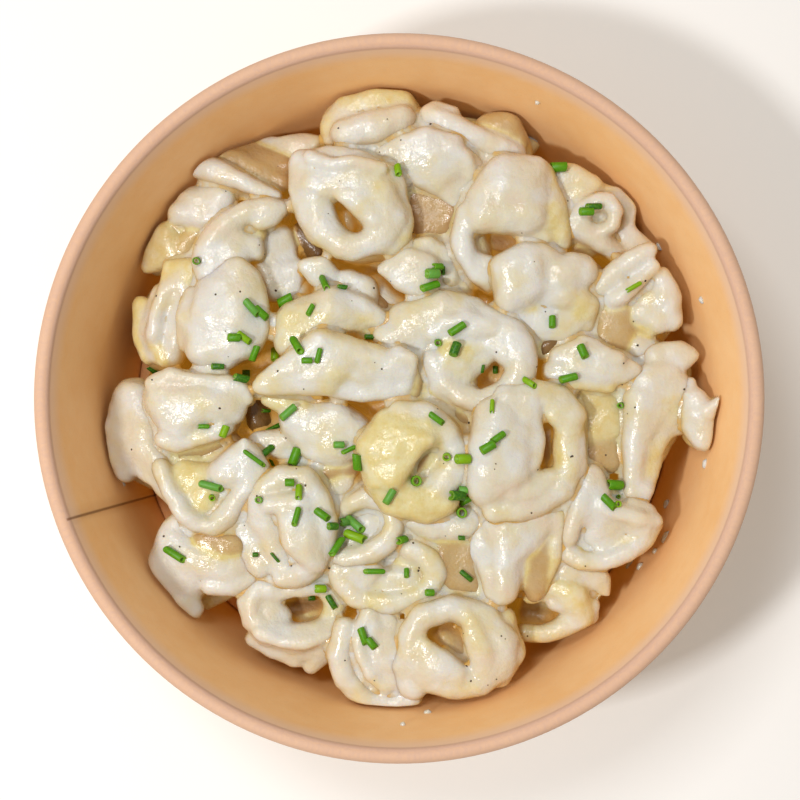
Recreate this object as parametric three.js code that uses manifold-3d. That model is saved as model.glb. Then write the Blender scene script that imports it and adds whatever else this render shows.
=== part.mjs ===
// A bowl of tortellini in cream sauce with cut chives, in a round bowl of brown paper.
// Millimetres, +Z up. The origin is on the table under the middle of the bowl.
import * as THREE from 'three';
import { mergeVertices } from 'three/addons/utils/BufferGeometryUtils.js';
import Module from 'manifold-3d';

const wasm = await Module();
wasm.setup();

// --- Driving sizes -------------------------------------------------------------------

// The paper bowl: a conical sleeve with a rolled rim, and a disc whose skirt hangs in the
// sleeve's folded foot.
const SEGMENTS = 40;
const PAPER = 0.6;
const GAP = 0.3;
const SLEEVE_FOOT_RADIUS = 62.1;
const SLEEVE_SLOPE = 0.168;
const FLOOR_TOP = 7.5;
const SKIRT_LOW = 1.2;
const FOLD_TOP = 5.4;
const RIM_TOP = 59.8;
const RIM_BEAD = 1.6;
const RIM_STEPS = 6;
const RIM_CURL_END = -110;

// The lap, where the sleeve's paper overlaps itself.
const LAP_ANGLE = 200.5;
const LAP_WIDTH = 8;
const LAP_STEP = 0.5;
const LAP_LOW = FLOOR_TOP + 0.6;
const LAP_HIGH = 56;

// The heap's core, a low mound that the pasta lies on.
const CORE_RINGS = [
  [20, 35], [36, 34], [48, 31], [57, 26], [60.5, 18],
];
const CORE_SEGMENTS = 16;
const CORE_RIPPLE = 1.1;
const WALL_GAP = 0.4;

// One tortellino is a ring: a fat belly of filled dough below and a thin flap above it that
// curls outwards. Belly and flap are thickest opposite the pinched corners.
const FLAP_HALF = 1.15;
const FLAP_SWELL = 0.45;
const BELLY_TAPER = 1.75;
const TOP_PIECES = 28;
const TOP_DETAIL = { ringSections: 9, arcSections: 7, steps: 4 };
const LOW_DETAIL = { ringSections: 7, arcSections: 5, steps: 3 };
const DENT = 0.45;

const KINDS = {
  hat: { hole: 3.8, belly: 5.2, flap: 12.5, curl: 75 },
  ring: { hole: 4.8, belly: 5.3, flap: 12, curl: 75, stretch: 1.1 },
  dome: { hole: 4.4, belly: 6.1, flap: 12, curl: 70, slit: 0.5 },
  snail: { hole: 3.2, belly: 5.4, flap: 12, curl: 70, slit: 0.3 },
  bud: { hole: 1.4, belly: 6, flap: 12, curl: 70 },
  cup: { hole: 3.8, belly: 5, flap: 12.5, curl: 60 },
  knot: { hole: 3.4, belly: 5.8, flap: 12, curl: 75, corner: 3.4 },
  crescent: { hole: 3.8, belly: 5.1, flap: 12, curl: 70, arc: 0.45, corner: 0.6 },
};
const CORNER = 2.2;
const ARC_REST = 4;

// Each piece: kind, place, which way its flap points (a turn from +X, and a tilt from
// straight up), the turn about that line from belly uppermost, and its size. The first
// TOP_PIECES of them lie uppermost and are made with the most sides.
const TORTELLINI = [
  ['ring', -11, 41.5, 38.5, 135, 160, 75, 1],
  ['hat', -6, 59, 38, -65, 75, 0, 0.95],
  ['hat', 8.5, 51, 35, -95, 68, 0, 0.9],
  ['hat', 15.5, 55.5, 33, 60, 55, 0, 0.95],
  ['dome', 25, 39, 38.5, 90, 152, 0, 1.03],
  ['hat', 40, 41.5, 33, 135, 40, 0, 0.92],
  ['knot', 31, 22.5, 38, -90, 75, 180, 1],
  ['hat', 52, 23.5, 34, 130, 70, 0, 0.9],
  ['crescent', 41, 7.5, 37, 92, 88, 0, 0.9],
  ['hat', 3, 29.5, 36.5, 100, 60, 40, 0.8],
  ['hat', 13.5, 8.5, 38, 0, 12, -15, 1.12],
  ['crescent', -13.5, 7, 40, 97, 85, 0, 1.12],
  ['hat', -16, 18, 35, -90, 85, 0, 1],
  ['bud', -39, 18.5, 35, 90, 150, 180, 1],
  ['hat', -35, 37.5, 36.5, 115, 60, 30, 0.8],
  ['crescent', -43.5, -2.5, 37.5, 92, 85, 0, 1.02],
  ['cup', -41.5, -19, 35, -85, 35, 180, 1],
  ['crescent', -17, -6.5, 35, -85, 85, 0, 1],
  ['snail', 2.5, -13, 40, 180, 158, 0, 1],
  ['snail', 25, -12, 39, 180, 152, 0, 1.1],
  ['crescent', 55.5, -6.5, 35, 180, 80, 0, 1],
  ['snail', 44.5, -26, 34, 45, 145, 0, 1.02],
  ['hat', 26, -34, 34, -105, 60, 0, 0.95],
  ['hat', -23.5, -28, 36, 200, 60, 0, 0.9],
  ['cup', -7, -29, 35, -80, 35, 180, 0.9],
  ['cup', -3, -40, 32, -85, 45, 160, 0.9],
  ['cup', -5.5, -57, 33.5, 215, 35, 180, 1],
  ['ring', 13, -53.5, 37, 0, 162, 20, 1.02],
  ['crescent', -35, 49.5, 33, -118, 80, 0, 0.95],
  ['hat', -47.5, 38, 31, -130, 80, 0, 1],
  ['hat', -52, 18.5, 30, 175, 70, 0, 1],
  ['hat', -59, -6, 29, 150, 130, 0, 1],
  ['hat', -43, -35, 32, -105, 70, 0, 1.05],
  ['snail', -23.5, -48.5, 30, -90, 20, 180, 0.95],
  ['cup', 35, -43.5, 29, -60, 60, 180, 0.85],
  ['hat', 44.5, -3.5, 28, 0, 120, 0, 1],
  ['hat', 63.5, -3.5, 35, -90, 110, 0, 0.6],
  ['hat', -57, 16.5, 23, 30, 150, 0, 1],
  ['hat', -24, 51, 27, 100, 90, 0, 0.9],
  ['hat', 22, 55, 27, 20, 110, 0, 0.9],
  ['hat', 52, 13, 27, 70, 80, 40, 1],
];

// Each chive: where it lies, the turn of its length from +X, its length and its width.
const CHIVES = [
  [-16, 24.5, 115, 4.2, 1.8], [-25, 21.5, 20, 3.6, 2.6], [-32, 19.5, 135, 4, 2],
  [-30, 18.5, 140, 3.4, 2], [-33.5, 13, 145, 3.2, 1.8], [-31.5, 10, 75, 3.6, 1.8],
  [-34.5, 4, 0, 3, 2], [-56, 7, 115, 3.6, 1.6], [-21.5, 11, 125, 3.6, 2],
  [-17, 9, 75, 3, 1.6], [33.5, 51, 0, 3.8, 2.4], [42, 42, 10, 3, 1.6],
  [6.5, 24.5, 15, 3.6, 2], [50.5, 24, 30, 3.2, 1.6], [12.5, 15, 35, 3.8, 2],
  [36.5, 4.5, 15, 3.6, 2], [-24, -3, 40, 4, 2], [-28, -6.5, 35, 4.4, 1.6],
  [-31.5, -13, 145, 5, 1.6], [-29.5, -11.5, 35, 3.2, 1.8], [-23, -12.5, 70, 4, 2.8],
  [-11, -11, 25, 3, 1.6], [-8.5, -13.5, 75, 3.8, 2.2], [-41, -19, 165, 4.6, 2],
  [-22, -25.5, 75, 3.6, 1.6], [-16.5, -25, 145, 3.2, 2], [-9.5, -27.5, 140, 4, 2.2],
  [-9.5, -30, 160, 4.4, 2.4], [-14, -32, 40, 4.2, 1.8], [-2, -21, 60, 3.4, 2],
  [-49, -34, 150, 4.6, 2], [-5.5, -37.5, 0, 4, 1.6], [-15, -44.5, 120, 3.2, 1.6],
  [-8, -51.5, 110, 3.6, 2], [8, -4.5, 145, 3.4, 1.6], [19, -10.5, 30, 3.2, 2.4],
  [21, -8.5, 35, 3, 1.8], [12, -21, 0, 3, 2.4], [14.5, -22, 30, 3.6, 1.8],
  [14.5, -38.5, 140, 3, 1.6], [46.5, -19, 0, 3.2, 2.4], [45, -22.5, 135, 3.6, 2],
];
const CHIVE_SIDES = 4;
const CHIVE_SUNK = 0.3;

// --- Helpers --------------------------------------------------------------------------

function radians(degrees) {
  return THREE.MathUtils.degToRad(degrees);
}

// A skin over closed loops of equal length, each a list of points. The last loop joins the
// first one if closed, and otherwise both end loops are capped.
function loft(loops, closed) {
  const sides = loops[0].length;
  const points = loops.flat().flatMap((point) => point.toArray());
  const index = [];
  const spans = closed ? loops.length : loops.length - 1;
  for (let i = 0; i < spans; i += 1) {
    const here = i * sides;
    const next = ((i + 1) % loops.length) * sides;
    for (let j = 0; j < sides; j += 1) {
      const k = (j + 1) % sides;
      index.push(here + j, next + j, next + k, here + j, next + k, here + k);
    }
  }
  if (!closed) {
    const last = (loops.length - 1) * sides;
    for (let j = 1; j < sides - 1; j += 1) {
      index.push(0, j, j + 1);
      index.push(last, last + j + 1, last + j);
    }
  }
  const geometry = new THREE.BufferGeometry();
  geometry.setAttribute('position', new THREE.Float32BufferAttribute(points, 3));
  geometry.setIndex(index);
  return geometry;
}

// A closed solid for joining and cutting. One that came out inside out is turned round.
function solidOf(geometry) {
  const bare = geometry.clone();
  bare.deleteAttribute('normal');
  bare.deleteAttribute('uv');
  const merged = mergeVertices(bare, 1e-3);
  const make = (triVerts) => new wasm.Manifold(new wasm.Mesh({
    numProp: 3,
    vertProperties: merged.attributes.position.array,
    triVerts,
  }));
  const solid = make(new Uint32Array(merged.index.array));
  if (solid.volume() > 0) {
    return solid;
  }
  return make(new Uint32Array(merged.index.array).reverse());
}

function geometryOf(solid) {
  const mesh = solid.getMesh();
  const geometry = new THREE.BufferGeometry();
  geometry.setAttribute('position', new THREE.Float32BufferAttribute(mesh.vertProperties, 3));
  geometry.setIndex(new THREE.Uint32BufferAttribute(mesh.triVerts, 1));
  geometry.computeVertexNormals();
  return geometry;
}

// The largest of a solid's shells: loose scraps and sealed hollows are left out.
function largestShell(solid) {
  const shells = solid.decompose();
  return shells.reduce((best, shell) => (shell.volume() > best.volume() ? shell : best));
}

// An outline of (radius, height) points turned round the upright axis.
function turned(profile, segments = SEGMENTS) {
  return new THREE.LatheGeometry(profile, segments).rotateX(Math.PI / 2);
}

// --- The bowl -------------------------------------------------------------------------

function sleeveRadius(height) {
  return SLEEVE_FOOT_RADIUS + SLEEVE_SLOPE * height;
}

// Both faces of a sheet of paper that follows a path, as one closed outline.
function sheetOutline(path) {
  const left = [];
  const right = [];
  path.forEach((point, i) => {
    const before = path[Math.max(i - 1, 0)];
    const after = path[Math.min(i + 1, path.length - 1)];
    const into = point.clone().sub(i > 0 ? before : point);
    const out = after.clone().sub(i < path.length - 1 ? point : before);
    const way = (i > 0 ? into.normalize() : out.clone().normalize()).add(out.normalize());
    way.normalize();
    const half = PAPER / 2 / Math.max(way.dot(out), 0.5);
    const side = new THREE.Vector2(-way.y, way.x).multiplyScalar(half);
    left.push(point.clone().add(side));
    right.push(point.clone().sub(side));
  });
  return [...left, ...right.reverse(), left[0]];
}

// The sleeve: up inside the foot fold, down, under, up the wall and round the rolled rim.
function sleeveGeometry() {
  const foldRadius = (height) => sleeveRadius(height) - 2 * GAP - 1.5 * PAPER;
  const wallRadius = (height) => sleeveRadius(height) + PAPER / 2;
  const beadHeight = RIM_TOP - RIM_BEAD;
  const bead = new THREE.Vector2(sleeveRadius(beadHeight) + RIM_BEAD, beadHeight);
  const curl = RIM_BEAD - PAPER / 2;
  const path = [
    new THREE.Vector2(foldRadius(FOLD_TOP), FOLD_TOP),
    new THREE.Vector2(foldRadius(PAPER / 2), PAPER / 2),
    new THREE.Vector2(wallRadius(PAPER / 2), PAPER / 2),
  ];
  for (let i = 0; i <= RIM_STEPS; i += 1) {
    const angle = radians(180 + ((RIM_CURL_END - 180) * i) / RIM_STEPS);
    const offset = new THREE.Vector2(Math.cos(angle), Math.sin(angle));
    path.push(bead.clone().addScaledVector(offset, curl));
  }
  return turned(sheetOutline(path));
}

// The inner ply of the lap: a step on one side that fades into the wall on the other.
function lapGeometry() {
  const stations = [0, 0.5, 1];
  const loops = stations.map((share) => {
    const angle = radians(LAP_ANGLE) - (share * LAP_WIDTH) / sleeveRadius(LAP_HIGH);
    const step = LAP_STEP * (1 - 0.8 * share);
    const corner = (height, inset) => {
      const radius = sleeveRadius(height) - inset;
      return new THREE.Vector3(radius * Math.cos(angle), radius * Math.sin(angle), height);
    };
    return [
      corner(LAP_LOW, step), corner(LAP_HIGH, step),
      corner(LAP_HIGH, -GAP), corner(LAP_LOW, -GAP),
    ];
  });
  return loft(loops, false);
}

function bowlWall() {
  return geometryOf(solidOf(sleeveGeometry()).add(solidOf(lapGeometry())));
}

function bowlBase() {
  const outer = (height) => sleeveRadius(height) - GAP;
  const corner = 0.8;
  return turned([
    new THREE.Vector2(0, FLOOR_TOP),
    new THREE.Vector2(0, FLOOR_TOP - PAPER),
    new THREE.Vector2(outer(FLOOR_TOP) - PAPER, FLOOR_TOP - PAPER),
    new THREE.Vector2(outer(SKIRT_LOW) - PAPER, SKIRT_LOW),
    new THREE.Vector2(outer(SKIRT_LOW), SKIRT_LOW),
    new THREE.Vector2(outer(FLOOR_TOP), FLOOR_TOP - corner),
    new THREE.Vector2(outer(FLOOR_TOP) - corner, FLOOR_TOP),
    new THREE.Vector2(0, FLOOR_TOP),
  ]);
}

// The room that the food may fill, just clear of the paper.
function roomInBowl() {
  const low = FLOOR_TOP + GAP;
  const high = RIM_TOP - 2 * RIM_BEAD;
  const clear = WALL_GAP + LAP_STEP;
  return solidOf(turned([
    new THREE.Vector2(0, low),
    new THREE.Vector2(sleeveRadius(low) - clear, low),
    new THREE.Vector2(sleeveRadius(high) - clear, high),
    new THREE.Vector2(0, high),
  ]));
}

// --- The tortellini -------------------------------------------------------------------

function smooth(low, high, value) {
  return THREE.MathUtils.smoothstep(value, low, high);
}

// One section of a piece as a closed outline in (radius, height), for a place along the
// ring from -1 to 1, with 0 at the belly.
function tortellinoSection(shape, seed, along, steps) {
  const { hole, belly, flap, curl } = shape;
  const { arc = 1, slit = 0, corner = CORNER } = shape;
  const swell = Math.max(Math.cos((along * Math.PI) / 2), 0);
  const fullness = swell ** 0.75;
  const half = corner + (belly - corner) * fullness;
  const reach = corner + 1 + (flap - corner - 1) * fullness;
  const length = half + reach;
  const inner = arc < 1 ? (hole + ARC_REST) / arc - ARC_REST : hole * (1 - slit * swell ** 2);
  const wave = 1 + 0.25 * Math.sin(4.2 * along + seed) + 0.12 * Math.sin(9 * along + 2 * seed);
  const outside = [];
  const inside = [];
  let radius = inner + half;
  let height = -half;
  let before = 0;
  for (let i = 0; i <= steps; i += 1) {
    const share = (1 - Math.cos((Math.PI * i) / steps)) / 2;
    const run = length * share;
    const level = run - half;
    const span = level < 0 ? half : BELLY_TAPER * half;
    const round = half * Math.sqrt(Math.max(1 - (level / span) ** 2, 0));
    const tip = Math.max((run - length) / FLAP_HALF + 1, 0);
    const sheet = FLAP_HALF * smooth(0.5, 1.2, run / half) * Math.sqrt(Math.max(1 - tip ** 2, 0));
    const thick = (round ** 4 + sheet ** 4) ** 0.25 + FLAP_SWELL * Math.sin(Math.PI * share) ** 0.5;
    const rise = THREE.MathUtils.clamp((run - 0.9 * half) / (reach + 0.1 * half), 0, 1);
    const bend = radians(curl) * rise ** 1.2 * wave * (0.35 + 0.65 * swell);
    radius += Math.sin(bend) * (run - before);
    height += Math.cos(bend) * (run - before);
    before = run;
    outside.push([radius + thick * Math.cos(bend), height - thick * Math.sin(bend)]);
    if (i > 0 && i < steps) {
      const back = Math.max(radius - thick * Math.cos(bend), 0.5);
      inside.unshift([back, height + thick * Math.sin(bend)]);
    }
  }
  return [...outside, ...inside];
}

// Slow dents that make every piece a little different.
function dented(point, seed) {
  const { x, y, z } = point;
  return new THREE.Vector3(
    x + DENT * Math.sin(0.45 * y + 1.7 * seed) + 0.5 * DENT * Math.sin(0.7 * z + 2.9 * seed),
    y + DENT * Math.sin(0.45 * z + 1.3 * seed) + 0.5 * DENT * Math.sin(0.7 * x + 2.3 * seed),
    z + DENT * Math.sin(0.45 * x + 1.9 * seed) + 0.5 * DENT * Math.sin(0.7 * y + 3.1 * seed),
  );
}

function tortellinoGeometry(shape, seed, size) {
  const detail = seed > TOP_PIECES ? LOW_DETAIL : TOP_DETAIL;
  const { arc = 1, stretch = 1, hole, flap, belly } = shape;
  const closed = arc === 1;
  const count = closed ? detail.ringSections : detail.arcSections;
  const middle = closed ? 3.2 * stretch : (hole + ARC_REST) / arc - ARC_REST + 3;
  const lift = 0.35 * (flap - belly);
  const loops = [];
  for (let i = 0; i < count; i += 1) {
    const along = closed ? (2 * i) / count - 1 : (2 * i) / (count - 1) - 1;
    const angle = along * Math.PI * arc;
    const section = tortellinoSection(shape, seed, along, detail.steps);
    loops.push(section.map(([radius, height]) => {
      const x = radius * Math.cos(angle) * stretch - middle;
      const y = (radius * Math.sin(angle)) / Math.sqrt(stretch);
      return dented(new THREE.Vector3(x, y, height - lift).multiplyScalar(size), seed);
    }));
  }
  return loft(loops, closed);
}

// A piece in its place. With no turn its belly is uppermost once the flap leans over.
function placedTortellino([kind, x, y, z, toward, tilt, spin, size], seed) {
  const geometry = tortellinoGeometry(KINDS[kind], seed, size);
  geometry.rotateZ(radians(spin + 180));
  geometry.rotateY(radians(tilt));
  geometry.rotateZ(radians(toward));
  geometry.translate(x, y, z);
  return solidOf(geometry);
}

// --- The heap -------------------------------------------------------------------------

// The mound under the pasta, rippled so that it is as uneven as what lies on it.
function coreGeometry() {
  const low = FLOOR_TOP + GAP;
  const edge = sleeveRadius(low) - WALL_GAP - LAP_STEP;
  const profile = [[0, low], [edge, low], ...CORE_RINGS.slice().reverse(), [0, CORE_RINGS[0][1]]];
  const outline = profile.map(([radius, height]) => new THREE.Vector2(radius, height));
  const geometry = turned(outline, CORE_SEGMENTS);
  geometry.deleteAttribute('normal');
  geometry.deleteAttribute('uv');
  const merged = mergeVertices(geometry, 1e-3);
  const position = merged.attributes.position;
  for (let i = 0; i < position.count; i += 1) {
    const height = position.getZ(i);
    if (height > low + 1) {
      const ripple = Math.sin(0.3 * position.getX(i)) * Math.cos(0.3 * position.getY(i));
      position.setZ(i, height + CORE_RIPPLE * ripple);
    }
  }
  return merged;
}

// A chive lying where a line dropped onto the heap meets it, along the slope there.
function placedChive(heap, [x, y, turn, length, width]) {
  const ray = new THREE.Raycaster(new THREE.Vector3(x, y, RIM_TOP), new THREE.Vector3(0, 0, -1));
  const [hit] = ray.intersectObject(heap);
  const up = hit.face.normal.clone().lerp(new THREE.Vector3(0, 0, 1), 0.4).normalize();
  const flat = new THREE.Vector3(Math.cos(radians(turn)), Math.sin(radians(turn)), 0);
  const along = flat.addScaledVector(up, -flat.dot(up)).normalize();
  const across = new THREE.Vector3().crossVectors(up, along);
  const centre = hit.point.clone().addScaledVector(up, (width / 2) * (1 - CHIVE_SUNK));
  const loops = [-0.5, 0.5].map((end) => {
    const loop = [];
    for (let i = 0; i < CHIVE_SIDES; i += 1) {
      const angle = (2 * Math.PI * i) / CHIVE_SIDES;
      const point = centre.clone().addScaledVector(along, end * length);
      point.addScaledVector(across, (width / 2) * Math.cos(angle));
      point.addScaledVector(up, (width / 2) * Math.sin(angle));
      loop.push(point);
    }
    return loop;
  });
  return solidOf(loft(loops, false));
}

function heap() {
  let solid = solidOf(coreGeometry());
  TORTELLINI.forEach((piece, i) => {
    solid = solid.add(placedTortellino(piece, i + 1));
  });
  const pasta = largestShell(solid.intersect(roomInBowl()));
  const target = new THREE.Mesh(geometryOf(pasta));
  let topped = pasta;
  CHIVES.forEach((chive) => {
    topped = topped.add(placedChive(target, chive));
  });
  return geometryOf(largestShell(topped));
}

// --- The object -----------------------------------------------------------------------

function addMesh(parent, name, geometry, colour, roughness) {
  const material = new THREE.MeshStandardMaterial({ color: colour, roughness, metalness: 0 });
  const mesh = new THREE.Mesh(geometry, material);
  mesh.name = name;
  parent.add(mesh);
  return mesh;
}

const group = new THREE.Group();
const bowl = new THREE.Group();
addMesh(bowl, 'bowl_wall', bowlWall(), 0xd9a06a, 0.75);
addMesh(bowl, 'bowl_base', bowlBase(), 0xcf9661, 0.75);
group.add(bowl);
addMesh(group, 'tortellini_heap', heap(), 0xeadfc2, 0.35);

export default group;
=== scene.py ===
# %% [markdown]
# # Tortellini in cream sauce, in a brown paper bowl
#
# The subject is a helping of cooked tortellini in thick cream sauce, strewn with cut chives
# and ground pepper, in a round paperboard bowl. The CAD model gives the bowl's true size and
# a plain solid for the heap. This notebook puts the real surfaces in their place: a smooth
# bowl with a rolled rim, the tortellini, the sauce between them, and the garnish.

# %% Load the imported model
import math

import bpy
from mathutils import Matrix, Vector


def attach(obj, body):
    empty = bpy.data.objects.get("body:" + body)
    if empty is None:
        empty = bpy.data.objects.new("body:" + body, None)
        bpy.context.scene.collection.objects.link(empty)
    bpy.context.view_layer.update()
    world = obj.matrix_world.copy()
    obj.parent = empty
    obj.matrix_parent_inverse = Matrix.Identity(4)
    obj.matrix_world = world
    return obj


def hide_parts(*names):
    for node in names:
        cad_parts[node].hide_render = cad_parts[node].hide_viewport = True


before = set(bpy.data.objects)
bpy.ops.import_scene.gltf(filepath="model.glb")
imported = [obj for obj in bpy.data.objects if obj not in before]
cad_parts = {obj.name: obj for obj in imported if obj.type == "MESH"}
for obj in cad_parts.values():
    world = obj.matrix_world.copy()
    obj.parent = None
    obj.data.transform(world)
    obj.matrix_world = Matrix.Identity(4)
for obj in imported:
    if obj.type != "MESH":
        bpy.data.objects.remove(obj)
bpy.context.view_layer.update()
print("CAD nodes:", sorted(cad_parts))

# %% [markdown]
# Blender works in metres, and the bowl and the pasta are easier to read in millimetres, so
# sizes below are in millimetres and are multiplied by `MM` where they enter a mesh.

# %% Sizes of the bowl
MM = 0.001
PAPER = 0.6
GAP = 0.3
SLEEVE_FOOT_RADIUS = 62.1
SLEEVE_SLOPE = 0.168
FLOOR_TOP = 7.5
SKIRT_LOW = 1.2
FOLD_TOP = 5.4
RIM_TOP = 59.8
RIM_BEAD = 1.6
LAP_ANGLE = 200.5
LAP_STEP = 0.5
LAP_FADE = 14
ON_AXIS = 0.02


def sleeve_radius(height):
    """Inner radius of the paper sleeve at a height."""
    return SLEEVE_FOOT_RADIUS + SLEEVE_SLOPE * height


print(f"rim {2 * (sleeve_radius(RIM_TOP) + 2 * RIM_BEAD):.1f} mm across")

# %% [markdown]
# ## Camera, light and floor
#
# The bowl is seen from almost straight above. A camera a little to the right of the middle
# and a little below it shows the left wall slightly less steeply than the right one.

# %% Camera
scene = bpy.context.scene
CAMERA_AT = Vector((9, -9, 390)) * MM
LOOKS_AT = Vector((0, 0, RIM_TOP)) * MM
LENS = 72.7
SHIFT = (0.00395, -0.00495)

back = (CAMERA_AT - LOOKS_AT).normalized()
right = Vector((0, 1, 0)).cross(back).normalized()
camera = bpy.data.objects.new("camera", bpy.data.cameras.new("camera"))
camera.matrix_world = Matrix.Translation(CAMERA_AT) @ Matrix(
    (right, back.cross(right), back)
).transposed().to_4x4()
camera.data.lens = LENS
camera.data.shift_x, camera.data.shift_y = SHIFT
scene.collection.objects.link(camera)
scene.camera = camera
print("camera height", round(CAMERA_AT.z, 3), "m")

# %% [markdown]
# One fairly small soft light stands low on the left, so the heap throws a clear shadow on
# the far right wall and wet sauce shows small glints. A pale sky fills the shadows.

# %% Lights
WINDOW_LIGHT = (1, 0.995, 0.985)
SKY_LIGHT = (1, 0.945, 0.87, 1)
SKY_STRENGTH = 0.46
scene.view_settings.view_transform = "Standard"
scene.view_settings.look = "None"


def soft_light(name, place, size, power):
    """A square light that faces the middle of the bowl."""
    light = bpy.data.lights.new(name, "AREA")
    light.size = size
    light.energy = power
    light.color = WINDOW_LIGHT
    lamp = bpy.data.objects.new(name, light)
    lamp.location = Vector(place) * MM
    lamp.rotation_euler = (LOOKS_AT - lamp.location).to_track_quat("-Z", "Y").to_euler()
    scene.collection.objects.link(lamp)


soft_light("lower_window", (-235, -100, 500), 0.05, 1.32)
soft_light("upper_window", (-150, 190, 640), 0.16, 1.28)

sky = bpy.data.worlds.new("sky")
sky.use_nodes = True
sky_inputs = sky.node_tree.nodes["Background"].inputs
sky_inputs["Color"].default_value = SKY_LIGHT
sky_inputs["Strength"].default_value = SKY_STRENGTH
scene.world = sky
print("lights:", len(bpy.data.lights), "and a pale sky")

# %% [markdown]
# ## Writing node trees as sums
#
# Materials and Geometry Nodes are both trees of nodes. `Wire` wraps one socket and gives it
# Python's operators, so `1 - mask * 0.5` adds the two Math nodes. `Graph` holds one tree and
# adds any other node from its type, its settings and its inputs.

# %% Wire and Graph
class Wire:
    """An output socket that can be used in a sum."""

    def __init__(self, graph, socket):
        self.graph = graph
        self.socket = socket

    def __add__(self, other):
        return self.graph.math("ADD", self, other)

    def __sub__(self, other):
        return self.graph.math("SUBTRACT", self, other)

    def __rsub__(self, other):
        return self.graph.math("SUBTRACT", other, self)

    def __mul__(self, other):
        return self.graph.math("MULTIPLY", self, other)

    def __truediv__(self, other):
        return self.graph.math("DIVIDE", self, other)

    __radd__ = __add__
    __rmul__ = __mul__

    def sin(self):
        return self.graph.math("SINE", self)

    def cos(self):
        return self.graph.math("COSINE", self)

    def at_least(self, low):
        return self.graph.math("MAXIMUM", self, low)

    def at_most(self, high):
        return self.graph.math("MINIMUM", self, high)

    def clamp(self):
        return self.at_least(0).at_most(1)

    def smooth(self, low, high):
        """0 below low and 1 above high, with a soft step between."""
        share = ((self - low) / (high - low)).clamp()
        return share * share * (3 - 2 * share)

    def part(self, axis):
        """The X, Y or Z of a vector."""
        return self.graph.get("ShaderNodeSeparateXYZ", {}, {"Vector": self}, axis)


class Graph:
    """A node tree that is written as expressions."""

    def __init__(self, tree):
        self.tree = tree

    def node(self, kind, settings=None, inputs=None):
        """One node: its settings first, then the value or the link of each socket."""
        node = self.tree.nodes.new(kind)
        for name, value in (settings or {}).items():
            setattr(node, name, value)
        for name, value in (inputs or {}).items():
            if isinstance(name, int):
                socket = node.inputs[name]
            else:
                socket = next(s for s in node.inputs if s.name == name and s.enabled)
            if isinstance(value, Wire):
                self.tree.links.new(value.socket, socket)
            else:
                socket.default_value = value
        return node

    def out(self, node, name=None):
        """A node's named output, or its first one."""
        shown = [s for s in node.outputs if s.enabled]
        socket = shown[0] if name is None else next(s for s in shown if s.name == name)
        return Wire(self, socket)

    def get(self, kind, settings=None, inputs=None, name=None):
        """A node's output, for a node with one output that matters."""
        return self.out(self.node(kind, settings, inputs), name)

    def math(self, operation, *values):
        """A Math node on numbers, or a Vector Math node where one value is a vector."""
        kind = "ShaderNodeMath"
        if "VECTOR" in [v.socket.type for v in values if isinstance(v, Wire)]:
            kind = "ShaderNodeVectorMath"
            values = [(v, v, v) if isinstance(v, (int, float)) else v for v in values]
        return self.get(kind, {"operation": operation}, dict(enumerate(values)))

    def vector(self, x, y, z):
        return self.get("ShaderNodeCombineXYZ", {}, {"X": x, "Y": y, "Z": z})

    def noise(self, place, scale, detail=2.0, output="Fac", **inputs):
        """Cloudy noise from 0 to 1, with `scale` lumps to the metre."""
        settings = {"noise_dimensions": "4D"} if "W" in inputs else {}
        values = {"Vector": place, "Scale": scale, "Detail": detail, **inputs}
        return self.get("ShaderNodeTexNoise", settings, values, output)

    def mix(self, factor, first, second):
        """Two colours mixed."""
        values = {"Factor": factor, "A": first, "B": second}
        return self.get("ShaderNodeMix", {"data_type": "RGBA"}, values)

    def coats(self, colour, *coats):
        """A colour with others laid over it in turn: how much of each, and its code."""
        for share, code in coats:
            colour = self.mix(share, colour, paint(code))
        return colour


print("Wire and Graph ready")

# %% [markdown]
# Geometry Nodes modifiers are used like functions: `shaped` runs a tree with named sizes and
# gives back the plain mesh that came out, with no modifier left. `ShapeGraph` is a `Graph` with
# short names for the nodes that these trees use most.

# %% Geometry trees
SOCKET_KINDS = {
    float: "NodeSocketFloat",
    int: "NodeSocketInt",
    "object": "NodeSocketObject",
    "material": "NodeSocketMaterial",
}


class ShapeGraph(Graph):
    """A Geometry Nodes tree, with its commonest nodes under short names."""

    def place(self):
        return self.get("GeometryNodeInputPosition")

    def normal(self):
        return self.get("GeometryNodeInputNormal")

    def named(self, label, kind="FLOAT"):
        """What the geometry carries under this name."""
        values = {"Name": label}
        return self.get("GeometryNodeInputNamedAttribute", {"data_type": kind}, values, "Attribute")

    def store(self, geometry, label, value, kind="FLOAT"):
        """The geometry, carrying the value under this name."""
        values = {"Geometry": geometry, "Name": label, "Value": value}
        return self.get("GeometryNodeStoreNamedAttribute", {"data_type": kind}, values)

    def blur(self, value, rounds, kind="FLOAT"):
        values = {"Value": value, "Iterations": rounds}
        return self.get("GeometryNodeBlurAttribute", {"data_type": kind}, values)

    def moved(self, geometry, **where):
        """The geometry at a new Position, or shifted by an Offset."""
        return self.get("GeometryNodeSetPosition", {}, {"Geometry": geometry, **where})

    def rounded(self, geometry, rounds):
        return self.moved(geometry, Position=self.blur(self.place(), rounds, "FLOAT_VECTOR"))

    def other(self, thing):
        """The geometry of another object."""
        return self.get("GeometryNodeObjectInfo", {}, {"Object": thing}, "Geometry")

    def copies(self, points, form, scale, **turn):
        """One copy of a form on every point."""
        values = {"Points": points, "Instance": form, "Scale": self.vector(*scale), **turn}
        return self.get("GeometryNodeInstanceOnPoints", {}, values)


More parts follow.
